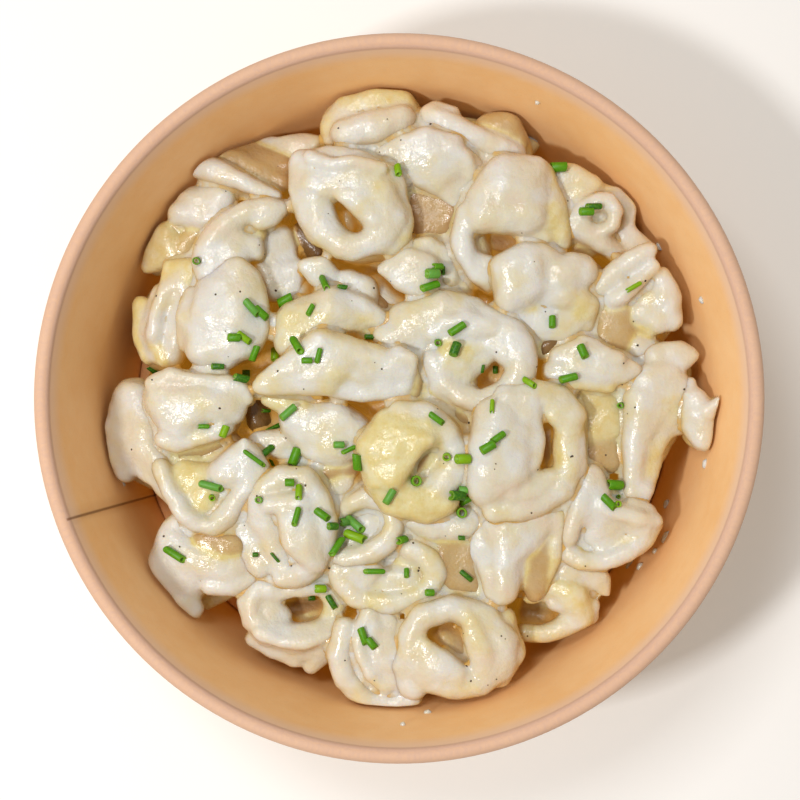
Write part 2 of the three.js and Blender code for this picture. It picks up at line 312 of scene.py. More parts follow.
def geometry_graph(name, sizes):
    """A Geometry Nodes tree with a geometry input and the named inputs, each with a default."""
    tree = bpy.data.node_groups.new(name, "GeometryNodeTree")
    tree.interface.new_socket("Geometry", in_out="INPUT", socket_type="NodeSocketGeometry")
    tree.interface.new_socket("Geometry", in_out="OUTPUT", socket_type="NodeSocketGeometry")
    for label, default in sizes.items():
        kind = SOCKET_KINDS.get(default) or SOCKET_KINDS[type(default)]
        socket = tree.interface.new_socket(label, in_out="INPUT", socket_type=kind)
        if not isinstance(default, str):
            socket.default_value = default
    graph = ShapeGraph(tree)
    entry = graph.node("NodeGroupInput")
    return graph, lambda label: graph.out(entry, label)


def finished(graph, geometry, material):
    """Ends a tree: instances made real, shading smooth, material set."""
    real = graph.get("GeometryNodeRealizeInstances", {}, {"Geometry": geometry})
    smooth = graph.get("GeometryNodeSetShadeSmooth", {}, {"Geometry": real})
    painted = graph.get("GeometryNodeSetMaterial", {}, {"Geometry": smooth, "Material": material})
    graph.node("NodeGroupOutput", {}, {"Geometry": painted})


def shaped(graph, mesh, sizes):
    """Runs a tree on a mesh with these sizes, and returns the mesh that comes out."""
    carrier = bpy.data.objects.new("carrier", mesh)
    modifier = carrier.modifiers.new("shape", "NODES")
    modifier.node_group = graph.tree
    for item in graph.tree.interface.items_tree:
        if item.in_out == "INPUT" and item.name in sizes:
            modifier[item.identifier] = sizes[item.name]
    scene.collection.objects.link(carrier)
    evaluated = carrier.evaluated_get(bpy.context.evaluated_depsgraph_get())
    result = bpy.data.meshes.new_from_object(evaluated)
    bpy.data.objects.remove(carrier)
    return result


def placed(name, mesh):
    """A mesh as an object that stands where its vertices are."""
    thing = bpy.data.objects.new(name, mesh)
    scene.collection.objects.link(thing)
    return thing


def add_piece(name, mesh):
    """Links a finished mesh as a piece of the model."""
    mesh.name = name
    piece = placed(name, mesh)
    triangles = sum(len(face.vertices) - 2 for face in mesh.polygons)
    print(f"{name}: {triangles} triangles")
    return piece


def mesh_of(name, points, faces, material=None):
    """A smooth mesh from points in millimetres."""
    mesh = bpy.data.meshes.new(name)
    mesh.from_pydata([tuple(c * MM for c in point) for point in points], [], faces)
    mesh.shade_smooth()
    if material:
        mesh.materials.append(material)
    return mesh


def mark(mesh, label, numbers):
    """Gives every vertex a number under a name."""
    layer = mesh.attributes.new(label, "FLOAT", "POINT")
    layer.data.foreach_set("value", [float(number) for number in numbers])


def point_cloud(name, points, values):
    """Loose points in millimetres, each with named numbers."""
    mesh = mesh_of(name, points, [])
    for label, numbers in values.items():
        mark(mesh, label, numbers)
    return mesh


def joined(name, meshes):
    """Several meshes as one, with their attributes kept."""
    parts = [placed(f"{name}_{i}", mesh) for i, mesh in enumerate(meshes)]
    with bpy.context.temp_override(active_object=parts[0], selected_editable_objects=parts):
        bpy.ops.object.join()
    mesh = parts[0].data
    bpy.data.objects.remove(parts[0])
    return mesh


def ring_faces(turns, count):
    """The faces of a form that repeats a closed outline of `count` points at every turn."""
    faces = []
    for i in range(turns):
        here = i * count
        there = (i + 1) % turns * count
        for j in range(count):
            k = (j + 1) % count
            faces.append((here + j, there + j, there + k, here + k))
    return faces


print("helpers for geometry trees ready")

# %% [markdown]
# ## Paints and finishes
#
# Every finish starts from a Principled shader. Colours are given as the hex code one would
# see on a screen and turned into the linear light values that Blender mixes.

# %% Colours and the shader
def paint(code):
    """A screen colour such as "E8CF8F" as linear red, green, blue and alpha."""
    screen = [int(code[i:i + 2], 16) / 255 for i in (0, 2, 4)]
    linear = [c / 12.92 if c <= 0.04045 else ((c + 0.055) / 1.055) ** 2.4 for c in screen]
    return (*linear, 1.0)


def finish_graph(name, **constants):
    """A new material with its graph and its Principled shader."""
    material = bpy.data.materials.new(name)
    material.use_nodes = True
    graph = Graph(material.node_tree)
    shader = material.node_tree.nodes["Principled BSDF"]
    for label, value in constants.items():
        shader.inputs[label.replace("_", " ")].default_value = value
    return material, graph, shader


def feed(graph, shader, **wires):
    """Links wires into the shader's sockets."""
    for label, wire in wires.items():
        graph.tree.links.new(wire.socket, shader.inputs[label.replace("_", " ")])


def object_place(graph):
    return graph.get("ShaderNodeTexCoord", {}, {}, "Object")


def attribute(graph, name):
    return graph.get("ShaderNodeAttribute", {"attribute_name": name}, {}, "Fac")


def bump(graph, height, distance, strength=1.0):
    values = {"Height": height, "Distance": distance, "Strength": strength}
    return graph.get("ShaderNodeBump", {}, values)


print("pale dough is", [round(channel, 2) for channel in paint("DBD1A0")[:3]])

# %% [markdown]
# ** Brown paperboard.** Unbleached board is not one brown. It holds short pulp fibres of two
# tones, is cloudy at the scale of a fingertip, and is paler in a band just under the rolled
# rim. An image of paper would need a flat layout, so stretched noise gives the fibres, two
# wide noises the clouds, and the height above the table the pale band and the pinker rim. A
# dark line of painted shade runs down the lap, at the edge of the inner ply.

# %% Paper
WALL_MIDDLE = 0.068


def paper_finish():
    material, graph, shader = finish_graph("kraft_paper", Specular_IOR_Level=0.35)
    place = object_place(graph)
    height = place.part("Z") / MM
    around = graph.math("ARCTAN2", place.part("Y"), place.part("X"))
    radius = graph.math("LENGTH", place * (1, 1, 0)) / MM
    unrolled = graph.vector(around * WALL_MIDDLE, place.part("Z"), radius * 0.0003)

    clouds = graph.noise(place, 55, 3) * 0.6 + graph.noise(place, 260, 2) * 0.4
    fibres = graph.noise(unrolled * (1, 3.2, 1), 1400, 3, Distortion=0.6)
    flecks = graph.noise(unrolled * (1, 1.6, 1), 2600, 2)

    wall = height * SLEEVE_SLOPE + SLEEVE_FOOT_RADIUS
    inside = 1 - (radius - wall).smooth(0.2, 0.5)
    patchy = 0.75 + 0.5 * fibres
    # Paler in a band just under the rim, inside the bowl.
    pale_band = height.smooth(RIM_TOP - 8, RIM_TOP - 2) * inside * patchy
    rim = height.smooth(RIM_TOP - 2.3, RIM_TOP - 1.2) * patchy
    # Painted shade: a dark line down the lap, at the edge of the inner ply.
    turn = graph.math("FRACT", around / math.tau + 1.0) * 360
    seam_shade = 1 - graph.math("ABSOLUTE", turn - LAP_ANGLE).smooth(0.05, 0.35)
    brown = graph.coats(
        paint("FAC687"),
        (clouds.smooth(0.25, 0.75), "FFD29A"),
        (fibres.smooth(0.45, 0.75) * 0.25, "F2D2AE"),
        (flecks.smooth(0.62, 0.75) * 0.22, "C08A55"),
        ((pale_band * 0.75).clamp(), "F2D1BA"),
        ((rim * 0.8).clamp(), "CDA793"),
        (seam_shade * inside * 0.75, "7A4A22"),
    )
    normal = bump(graph, fibres * 0.6 + flecks * 0.4, 0.00012, 0.5)
    rough = 0.62 - 0.12 * clouds + 0.1 * rim
    feed(graph, shader, Base_Color=brown, Roughness=rough, Normal=normal)
    return material


kraft = paper_finish()
print("finish:", kraft.name)

# %% [markdown]
# ** Wet pasta and cream.** Egg dough is pale yellow and lets light a little way in. Cream
# sauce covers it unevenly: white where it lies thick and yellow where a fold has shed it. Deep
# between the pieces the colour is painted shade, warm amber, with a painted glow that stands
# in for light that has passed through dough on its way. `bare` is painted on each fold: 0 is
# all sauce, 1 is dough, 1.6 a tan hollow and 2 a dark one, both painted shade. `shelter` and
# the steepness of each face are measured on the finished heap; both paint shade, and on steep
# faces more dough shows where the sauce drains. Noise breaks them up. Fine bumps turn the
# highlight into small glints.

# %% Pasta and sauce
def cream_finish(name, thickness, crease_shade_bias):
    material, graph, shader = finish_graph(
        name,
        Subsurface_Weight=0.45,
        Subsurface_Radius=(1.0, 0.72, 0.4),
        Subsurface_Scale=0.0035,
        Specular_IOR_Level=0.42,
        Coat_Roughness=0.06,
        Emission_Strength=0.25,
    )
    place = object_place(graph)
    bare = attribute(graph, "bare")
    # How closed in a point is, plus a bias that sets where painted crease shade and glow begin.
    shelter = attribute(graph, "shelter") + crease_shade_bias
    drained = attribute(graph, "drained")
    patches = graph.noise(place, 95, 3, Distortion=0.4)
    fine = graph.noise(place, 420, 3)
    clots = graph.noise(place + (0.3, 0.1, 0.2), 130, 2)

    cream = graph.coats(
        paint("D6D5CE"), (clots.smooth(0.4, 0.62), "D3CCB7"), (clots.smooth(0.6, 0.75) * 0.4, "DAC5B1")
    )
    dough = graph.coats(paint("DBD1A0"), (fine.smooth(0.3, 0.7), "D4C384"))
    thin = bare.at_most(1) * 1.05 + (patches - 0.5) * 1.8 + (fine - 0.5) * 0.5
    thin = thin + drained * 0.4 - thickness
    # Painted shade and glow deep in creases.
    deep = shelter.smooth(0.58, 0.88)
    # Painted shade on folds whose bare is above 1: tan, and dark brown from 1.6.
    tan = bare.smooth(1.1, 1.6) * (0.72 + 0.7 * shelter).at_most(1)
    dark = bare.smooth(1.6, 2.0)
    # Over sauce and dough go coats of painted shade: on steep sides, in creases, deep in creases, and on
    # tan and dark hollows.
    colour = graph.coats(
        graph.mix(thin.smooth(0.0, 1.0), cream, dough),
        (drained * 0.68, "CDA96C"),
        (shelter.smooth(0.38, 0.7) * 0.8, "C9AA6C"),
        (deep * 0.85, "C4964C"),
        (tan, "AE8A5C"),
        (dark * 0.95, "6E5028"),
    )
    # A painted glow, warm amber, deep in creases: it stands in for light that has passed through the dough.
    # Dark hollows get little of it.
    glow = graph.coats(paint("000000"), (deep * (1 - dark * 0.9), "B48420"))

    sparkle = graph.noise(place, 1250, 2, Roughness=0.6)
    lumps = graph.noise(place, 330, 2) + sparkle * 0.5
    normal = bump(graph, lumps, 0.0006, 0.45)
    rough = 0.3 - 0.14 * patches.smooth(0.35, 0.65) + 0.1 * shelter
    coat = 0.14 * graph.noise(place, 240, 2).smooth(0.4, 0.6)
    feed(graph, shader, Base_Color=colour, Roughness=rough, Normal=normal, Coat_Weight=coat)
    feed(graph, shader, Emission_Color=glow)
    return material


# The last number moves where painted crease shade begins; it begins sooner in the sauce.
pasta = cream_finish("pasta_in_sauce", 0.1, 0.09)
sauce = cream_finish("cream_sauce", 0.45, 0.12)
print("finishes:", pasta.name, sauce.name)

# %% [markdown]
# **Chives and pepper.** A chive is a hollow leaf with fine veins. Most cuts are grass green,
# some are darker or yellow-green, and those under a film of sauce look milky. One material
# serves all of them, because each bit carries its tone as a value from 0 to 1.

# %% Chive and pepper
CHIVE_TONES = {"d": 0.1, "g": 0.4, "y": 0.65, "t": 0.9}


def chive_finish():
    material, graph, shader = finish_graph(
        "chive", Specular_IOR_Level=0.35, Subsurface_Weight=0.15, Subsurface_Scale=0.0006
    )
    place = object_place(graph)
    tone = attribute(graph, "tone")
    inner = attribute(graph, "inner")
    veins = graph.noise(place, 2600, 2)
    colour = graph.coats(
        paint("2A640A"),
        (tone.smooth(0.15, 0.35), "4C8C02"),
        (tone.smooth(0.45, 0.6), "7DAA02"),
        (tone.smooth(0.7, 0.85), "5C9A3C"),
        (veins.smooth(0.4, 0.8) * 0.4, "7CA90E"),
        (inner * 0.5, "86B02A"),
    )
    rough = 0.32 + 0.2 * veins
    feed(graph, shader, Base_Color=colour, Roughness=rough, Normal=bump(graph, veins, 0.0001, 0.5))
    return material


def pepper_finish():
    material, graph, shader = finish_graph("pepper", Specular_IOR_Level=0.3)
    shade = graph.noise(object_place(graph), 3000, 2)
    colour = graph.coats(paint("2A2118"), (shade.smooth(0.35, 0.7), "6B5A44"))
    feed(graph, shader, Base_Color=colour, Roughness=0.6 + 0.3 * shade)
    return material


chive = chive_finish()
pepper = pepper_finish()
print("finishes:", chive.name, pepper.name)

# %% Floor
def floor_finish():
    material, graph, shader = finish_graph("floor", Specular_IOR_Level=0.2)
    drift = graph.noise(object_place(graph), 3, 2)
    colour = graph.coats(paint("F7F6F4"), (drift, "FFFFFF"))
    feed(graph, shader, Base_Color=colour, Roughness=0.8 + 0.1 * drift)
    return material


FLOOR_HALF = 3000
floor_corners = [(-1, -1), (1, -1), (1, 1), (-1, 1)]
floor_points = [(x * FLOOR_HALF, y * FLOOR_HALF, 0) for x, y in floor_corners]
floor = add_piece("floor", mesh_of("floor", floor_points, [(0, 1, 2, 3)], floor_finish()))

# %% [markdown]
# ## The paper bowl
#
# The real sleeve is one fan-shaped blank, wrapped to a cone and glued down one lap, with its
# top edge rolled outwards into a bead and its bottom folded in round a pressed disc. A
# profile turned round the axis gives all of it. At the lap the inner face steps in by the
# thickness of the paper, at one column of points, and fades out again further round.

# %% Turning a profile
SIDES = 180
LAP_CLEAR = 0.8
LAP_WIDTH = 0.12


def lap_inset(degrees):
    """How far the inner ply stands in from the wall at this angle."""
    past = (LAP_ANGLE - degrees) % 360
    return LAP_STEP * max(0.0, 1 - past / LAP_FADE)


def turned(profile, name, material):
    """A closed outline of (radius, height, share of the lap's inset) turned round Z."""
    even = [i * 360 / SIDES for i in range(SIDES)]
    angles = [a for a in even if abs(a - LAP_ANGLE) > LAP_CLEAR]
    angles = sorted(angles + [LAP_ANGLE, LAP_ANGLE + LAP_WIDTH])
    points = []
    for degrees in angles:
        inset = lap_inset(degrees)
        x, y = math.cos(math.radians(degrees)), math.sin(math.radians(degrees))
        for radius, height, share in profile:
            reach = radius - inset * share
            points.append((reach * x, reach * y, height))
    return mesh_of(name, points, ring_faces(len(angles), len(profile)), material)


print("columns round the bowl: about", SIDES)

# %% The sleeve's profile
BEAD_STEPS = 18
WALL_STEPS = 14
CURL_END = -110


def sleeve_profile():
    """Inner face up, round the rolled rim, and back down the outer face to the foot."""
    bead_height = RIM_TOP - RIM_BEAD
    bead_radius = sleeve_radius(bead_height) + RIM_BEAD

    def curl(step, reach):
        angle = math.radians(180 + (CURL_END - 180) * step / BEAD_STEPS)
        return (bead_radius + reach * math.cos(angle), bead_height + reach * math.sin(angle), 0)

    outline = []
    for i in range(1, WALL_STEPS + 1):
        height = bead_height * i / WALL_STEPS
        share = min(1.0, max(0.0, (height - FLOOR_TOP) / 2)) * min(1.0, (bead_height - height) / 3)
        outline.append((sleeve_radius(height), height, share))
    outline += [curl(i, RIM_BEAD) for i in range(1, BEAD_STEPS + 1)]
    outline += [curl(i, RIM_BEAD - PAPER) for i in range(BEAD_STEPS, -1, -1)]
    for i in range(WALL_STEPS - 1, 0, -1):
        height = bead_height * i / WALL_STEPS
        outline.append((sleeve_radius(height) + PAPER, height, 0))
    return outline


def foot_outline():
    """The fold of the sleeve that is turned up inside the foot."""
    outer = sleeve_radius(0)
    fold = outer - 2 * GAP - 2 * PAPER
    fold_end = fold + SLEEVE_SLOPE * FOLD_TOP
    return [
        (outer + PAPER, 0, 0),
        (fold, 0, 0),
        (fold_end, FOLD_TOP, 0),
        (fold_end + PAPER, FOLD_TOP, 0),
        (fold + PAPER, PAPER, 0),
        (outer, PAPER, 0),
    ]


sleeve = add_piece("paper_sleeve", turned(sleeve_profile() + foot_outline(), "paper_sleeve", kraft))

# %% The floor of the bowl
DISC_BEND = 0.8
DISC_HALFWAY = 30


def disc_outline():
    """The pressed disc and the skirt that stands round it, between the plies of the foot."""
    low = FLOOR_TOP - PAPER
    edge = sleeve_radius(FLOOR_TOP) - GAP
    skirt = sleeve_radius(SKIRT_LOW) - GAP
    return [
        (ON_AXIS, FLOOR_TOP, 0),
        (DISC_HALFWAY, FLOOR_TOP, 0),
        (edge - DISC_BEND, FLOOR_TOP, 0),
        (edge - 0.3 * DISC_BEND, FLOOR_TOP - 0.3 * DISC_BEND, 0),
        (edge - 0.1, FLOOR_TOP - DISC_BEND, 0),
        (skirt, SKIRT_LOW, 0),
        (skirt - PAPER, SKIRT_LOW, 0),
        (edge - PAPER, low, 0),
        (DISC_HALFWAY, low, 0),
        (ON_AXIS, low, 0),
    ]


paper_floor = add_piece("paper_floor", turned(disc_outline()[::-1], "paper_floor", kraft))

# %% [markdown]
# ## The tortellini
#
# What lies on top has been squashed, opened and folded by its neighbours until no two are
# alike, so each of these is laid out fold by fold. A fold is a row of balls. A hull wrapped
# round all of them is a belly or a sheet, and one wrapped round each pair is a rolled edge.
# A row gives the places where the camera sees them, 800 steps across its view, and `seen`
# turns such a place into millimetres.

# %% Shapes of the upper tortellini
# A line for each fold: how bare it is, then its balls: across, down, the height of the top in
# mm, the radius. A height or a radius that stays as it was is left out. `rope` makes a rolled
# edge, with its own floor below it, and `edge` one without a floor, for the rim of a hole.
# A bare value above 1 is painted shade: tan from 1.1 and dark brown by 2, for holes, slits and sheets that
# lie in shade.
SHAPES = {
    "ring_at_back": """
0.3 edge: 318 188 44 19, 316 210, 325 232 18, 343 248 14, 362 250 13, 384 241 15
0.25 edge: 384 241 44 15, 391 220 45 19, 383 199 46 20, 365 184, 343 182 19, 320 186 45 19
0.3: 346 196 46 7, 368 207 12, 378 224 45 13, 362 200 46 12
0.1: 304 165 43 11, 330 162 44 12, 312 190 11
0.1: 330 160 44 12, 365 166 13, 345 178 12, 380 176 13
0.2: 380 176 44 13, 397 190 43 12, 396 212, 380 192 45 12
0.2 rope: 300 166 42 7, 300 190, 305 215, 316 234 8
0.5: 400 195 42 9, 405 220 8, 404 240, 394 250 9
0.0 edge: 312 158 45 5, 336 166 47 5, 358 163, 384 170 46 5
0.6: 349 216 38 4, 352 232 5
1.5: 337 222 34 9, 350 234, 362 222 8
""",
    "crown_at_back": """
0.5: 352 125 39 26, 395 118 28
0.75 rope: 337 130 38 13, 353 110 39 18, 378 104 40 17, 400 108 39 16, 409 117 38 12
0.0: 347 137 42 13, 375 129 43 15, 402 124 42 14
0.5 rope: 335 142 38 8, 350 150 7, 376 147
0.0: 345 150 37 11, 385 145 38 12, 365 155 10
""",
    "dome_at_back": """
0.2: 404 160 41 15, 430 151 43 19, 455 166 42 19, 440 180 41 16
0.1 rope: 384 158 40 9, 404 149 42 10, 430 140 43 10, 455 147 42 9
0.3 rope: 452 150 43 7, 466 162 42 8, 474 178 41 7
0.1: 442 182 40 13, 462 190 39 15, 462 206 38 12
0.0: 455 155 41 12, 478 175 40 12, 470 195 39 12
""",
    "band_at_back": """
0.5: 452 132 36 14, 490 150 18, 515 160 34 12
0.1 rope: 430 119 39 10, 452 127 40 10, 476 139, 500 152 39 12, 517 161 37 11
0.1: 436 112 38 6, 456 114 5, 450 124 9
1.5: 490 133 37 14, 508 131, 516 145 36 13, 500 140 37 14
0.9: 521 150 34 10, 525 162 33 9
""",
    "hooded_dome": """
0.3: 505 206 37 26
0.1: 508 180 45 22, 490 202, 528 202 24, 533 180 44 18
0.2: 486 216 45 19, 505 217, 530 217
0.0 rope: 470 215 43 10, 465 238 42 10, 469 258 11, 482 275 41 12, 494 286 39 10
0.1: 474 264 41 10, 490 266 8, 492 280 40 10, 484 273 41 11
0.7: 542 180 42 13, 555 212, 545 225 12, 530 190 43 14
0.8 rope: 555 212 42 13, 559 238 40 12, 559 249 39 10
0.5: 522 236 41 6, 546 240, 546 250 40 6
1.65: 480 246 35 8, 520 246
""",
    "knobbly": """
0.1: 510 273 45 18, 531 263 17, 512 298 44 18, 533 288 45 17
0.1: 543 257 44 11, 530 264 45 14, 552 264 43 12
0.1: 561 279 44 18, 583 274 43 16, 573 271 15
0.2: 540 290 43 14, 568 296
0.2: 508 312 41 12, 530 322 13, 545 334 40 11, 568 334, 583 320 10
1.3: 515 306 42 9, 536 310 41 9
0.6: 580 300 42 11, 588 308 41 12, 585 325 39 11
1.3: 553 318 40 11, 560 312 9
1.7: 596 275 37 7, 597 290 36 7
""",
    "right_back_loop": """
0.4: 549 181 38 13, 572 180 11, 592 192 10, 580 206 12, 561 203
0.0 edge: 584 215 40 8, 596 206 41 8, 610 206, 618 216, 614 229 40 7, 604 234 39 7
1.4: 598 218 37 7, 604 222 36 6
0.4 rope: 600 197 36 8, 618 200, 629 210, 628 224 35 7
0.3 rope: 563 220 39 11, 583 232 12, 603 247 38 12, 618 258 36 10
0.1: 625 235 35 9, 645 250 34 8, 635 258
1.5: 565 235 35 12, 578 250 10, 590 255 9
1.5: 608 236 36 8, 600 240
""",
    "right_roll": """
0.2: 650 254 41 7, 632 262 9, 612 280 10, 603 288 40 8
0.1: 654 270 41 6, 640 284 7, 624 298 8, 616 302 40 7
0.4: 640 270 39 7, 620 290 8, 645 262 40 6
0.0: 660 280 39 9, 668 298 10, 672 322 38 10, 664 300 39 11
0.4: 648 300 38 9, 640 315, 660 325 10, 655 310 11
1.45: 604 303 38 10, 614 330 12, 608 350 11, 622 345 37 12, 622 310 38 10
1.6: 632 326 36 9, 652 328, 645 340 8
0.0: 640 350 37 11, 630 352 36 10, 655 352 9
""",
    "pointed_lens": """
0.4: 577 366 42 15, 600 371 17, 622 376 41 10, 636 373 40 5
0.1 rope: 560 360 41 9, 580 352 42 8, 600 356, 618 364 7
0.2: 556 374 40 12, 577 374 41 14
0.1: 583 345 41 6, 596 348
0.8: 575 385 40 7, 610 388
""",
    "small_flap": """
0.1: 385 272 40 4, 409 262 42 12, 430 268, 424 289 41 10, 405 283 9
0.4 rope: 412 250 40 8, 432 248 9, 450 260 39 9, 452 280 38 8
0.4: 456 250 37 10, 460 278 36 10, 466 300 35 9, 448 290 8
0.2: 415 240 36 8, 450 240 10
0.1: 385 300 35 13, 402 312 14, 378 285 34 8
""",
    "great_curl": """
0.3: 410 323 42 18, 445 313 43 19, 478 319 42 17, 440 332 43 14
0.2: 392 338 41 14, 406 355 40 14, 424 352, 430 330 42 12
0.1 edge: 490 323 43 14, 512 338 44 15, 524 356, 522 378, 507 396 43 12
0.1 edge: 507 396 43 12, 484 404 42 11, 462 398, 446 386 13, 436 366
0.6: 452 350 42 13, 460 366 14, 464 378 41 9, 446 374 42 13
0.1: 436 336 43 7, 447 325 44 7, 470 320 8, 494 330, 465 335 43 9
0.1: 497 346 43 11, 512 362, 490 338 42 10
0.7: 470 347 42 9, 494 348, 455 340, 482 354 41 7
0.5: 470 360 41 10, 488 357 9, 470 376 40 7
1.4: 458 392 40 9, 472 386 39 8
1.2: 452 350 43 9, 468 356 42 9
1.45: 428 392 39 9, 446 404 10, 470 424 38 11, 474 440 37 9
2.0: 495 378 33 10, 478 392 9
""",
    "wedge": """
0.3: 264 388 43 8, 285 373 45 12, 325 346 47 15, 330 385 45 12, 300 387 44 9
0.5: 325 346 47 15, 362 355 46 13, 340 372
0.3: 362 355 46 13, 400 367 45 9, 404 376 44 7, 360 374 45 11
0.0: 340 390 43 9, 365 396, 399 390 10, 380 382
0.2 rope: 400 357 45 8, 414 362 5, 412 376 44 5, 406 392 43 7
0.3: 320 370 37 20, 370 380 16
1.4: 412 370 43 5, 417 385 42 6, 414 398 41 7
0.5: 415 400 38 8, 430 398
""",
    "dome_behind_wedge": """
0.5: 298 326 41 22, 335 312 43 22, 358 318 41 19, 290 347 14
0.3 rope: 335 302 42 14, 360 312 41 13, 382 323 40 8
0.3: 350 284 38 11, 368 290, 371 308 37 9, 345 300 10
0.1: 308 268 39 6, 325 268 8, 322 283 38 8, 336 281 7
0.1: 285 277 34 16, 300 292 14, 268 285 33 10
0.5: 365 335 38 12, 380 340 8
""",
    "left_lump": """
0.1: 218 290 41 17, 236 272 42 13, 212 320 43 22, 238 320 44 22
0.0: 206 332 42 22, 238 343 43 21, 206 349 42 18, 228 357 41 14
0.4: 240 268 42 9, 256 282 41 9, 261 305, 244 300 43 14
0.4: 261 305 41 9, 262 332, 250 352, 244 325 43 14
0.2: 190 322 40 13, 193 342 39 13, 196 300 38 10
""",
    "wavy_strip": """
0.1 rope: 208 252 40 12, 218 238 41 11, 234 224, 252 213 10, 272 209 9, 284 210 40 8
0.2: 284 210 40 8, 273 220, 262 224 6, 272 209 41 8
0.1: 210 256 40 13, 224 268, 242 255 12, 230 240
0.2: 240 240 40 10, 256 246 39 9, 258 256 38 8, 240 256 39 10
0.0: 204 262 39 9, 240 266 40 9, 228 276 12, 210 274 11
1.3: 245 232 38 8, 262 236 37 7, 255 225 38 8
""",
    "far_left_flap": """
0.0 rope: 204 168 38 12, 220 175 39 10, 238 182 8, 257 189 7, 279 199 38 5
1.5: 210 156 34 7, 245 165 35 8, 285 184 9, 262 178
1.6: 214 156 33 7, 240 151 31 7, 270 150 9, 288 170 34 9, 250 168 8
0.2: 268 146 31 9, 292 144 32 8, 318 147 9, 288 160 10
1.7: 242 194 33 6, 258 198
""",
    "left_cup": """
0.2: 196 205 36 16, 222 202 37 16, 215 218 15
0.1: 184 214 36 12, 202 215 37 14
1.3: 170 236 34 14, 157 252 32 11, 152 266 31 8, 178 258 33 11
1.4: 190 244 34 9, 230 196 36 9, 185 258 33 11
""",
    "left_stripes": """
0.1: 184 284 36 11, 193 302 13, 184 338 35 15, 176 356 34 13
0.2: 165 300 34 12, 155 330 33 13, 162 354 11, 175 320 34 12
0.2 rope: 184 280 36 8, 168 294, 160 314, 157 336 35 8
0.9: 144 308 31 9, 145 335, 150 358 8
0.7: 172 272 35 8, 196 272 36 9, 188 290 10, 170 285 35 8
0.9: 160 345 34 9, 168 360 8
""",
    "left_lens": """
0.2: 168 400 42 21, 198 408 43 25, 182 424 42 20, 168 388 41 14
0.4: 200 405 43 23, 228 405 42 18, 244 397 41 10, 235 414 12
0.1 rope: 155 386 41 6, 172 377 42 6, 195 381 5, 225 383 6, 245 389, 252 400 41 6
0.3 rope: 165 442 40 7, 180 445, 205 440 41 7, 231 430 6
1.5: 185 455 35 10, 235 443
""",
    "wall_blob_left": """
0.1: 137 402 34 22, 127 430 33 22, 131 458 20, 150 440 36 20, 130 471 32 11
0.2: 148 450 36 16, 162 466 37 10, 165 480 36 10, 148 470 34 10
0.2: 163 470 37 10, 178 500 9, 168 488 35 10
""",
    "open_pouch": """
0.3 edge: 164 470 38 9, 175 494 39 9, 186 515, 200 527 38 9, 215 530, 230 518 10
0.2 edge: 230 518 38 10, 241 501 39 10, 255 486 40 10, 265 471 9
0.9: 190 478 37 18, 215 484 38 20, 207 508 37 16, 180 480 10
0.0: 228 474 40 16, 254 462 14, 262 475 10, 247 452
0.0: 247 450 40 7, 247 443 3
""",
    "sunken_dome": """
0.2: 302 421 40 19, 335 425 41 23, 340 449 40 20, 321 450 39 15, 364 436 40 14
0.8: 270 402 39 7, 290 406 40 10, 305 410 12
0.1: 262 446 36 11, 291 441, 280 452 35 10, 305 458 8
0.2: 335 494 37 11, 348 487 9, 336 504 36 9
1.6: 322 474 37 9, 350 472, 338 480 36 9
""",
    "yellow_snail": """
1.0: 391 428 45 18, 378 450 46 18, 400 452 47 18, 384 476 45 18, 397 472 46 15
1.0: 400 450 47 18, 421 447 8, 431 443 6, 420 438 10
1.0: 400 430 46 16, 428 430 12, 440 440 45 8, 420 442 47 9
1.0: 400 450 47 18, 418 452 7, 405 474 46 6, 397 478 13
0.9: 386 480 44 17, 400 500 43 18, 428 510 42 17, 446 502 14
0.4 rope: 405 415 45 13, 430 419, 449 435, 458 456 44 13, 455 475 43 13, 442 490
0.7: 451 468 43 8, 442 484, 428 496 42 9
1.5: 432 455 41 6, 421 470 7, 413 484 5
""",
    "great_snail": """
0.1: 500 420 46 23, 494 452 47 25, 516 437 46 22, 490 487 45 22, 514 470 46 20
0.1: 510 400 45 15, 531 400 13, 530 418 12
0.3: 534 424 44 8, 538 445 6, 533 465 8, 523 445 45 12
0.6: 537 392 44 9, 560 399 43 12, 570 420 14, 558 421 8, 547 400 44 9
0.7 rope: 569 422 43 13, 568 447 42 13, 569 470
0.3 rope: 569 470 42 13, 561 490 14, 545 502 13, 520 510 43 13, 496 513 11
0.3: 512 492 44 18, 534 489 43 16, 550 480 42 10
0.0: 577 440 41 8, 578 470 9
1.55: 545 425 37 8, 551 462 9
""",
    "right_ear": """
0.3: 640 384 40 12, 664 375 39 13, 686 398 38 12, 656 403 40 17
0.2: 640 402 41 18, 640 430 40 17, 655 410
0.2 rope: 640 425 40 16, 636 446 39 13, 633 470 38 10, 631 490 37 8
0.2: 667 402 38 16, 686 403 13, 676 425 37 13, 660 428 38 14
0.6: 668 430 37 9, 652 452 11, 645 440 38 12
0.6: 652 454 36 11, 646 476 10, 641 492 9, 640 460 37 10
0.1: 630 495 37 8, 643 491, 641 498 36 8
0.0: 655 360 38 11, 677 357, 681 366 9, 692 359 6
0.9: 628 400 36 10, 640 375, 632 440 35 10
""",
    "sauce_clot": """
0.0: 694 400 41 11, 699 420 15, 703 440 12, 692 428 40 11
0.0 rope: 706 415 42 7, 713 409 4, 719 402 43 2
0.0: 690 386 39 7, 690 408 10
""",
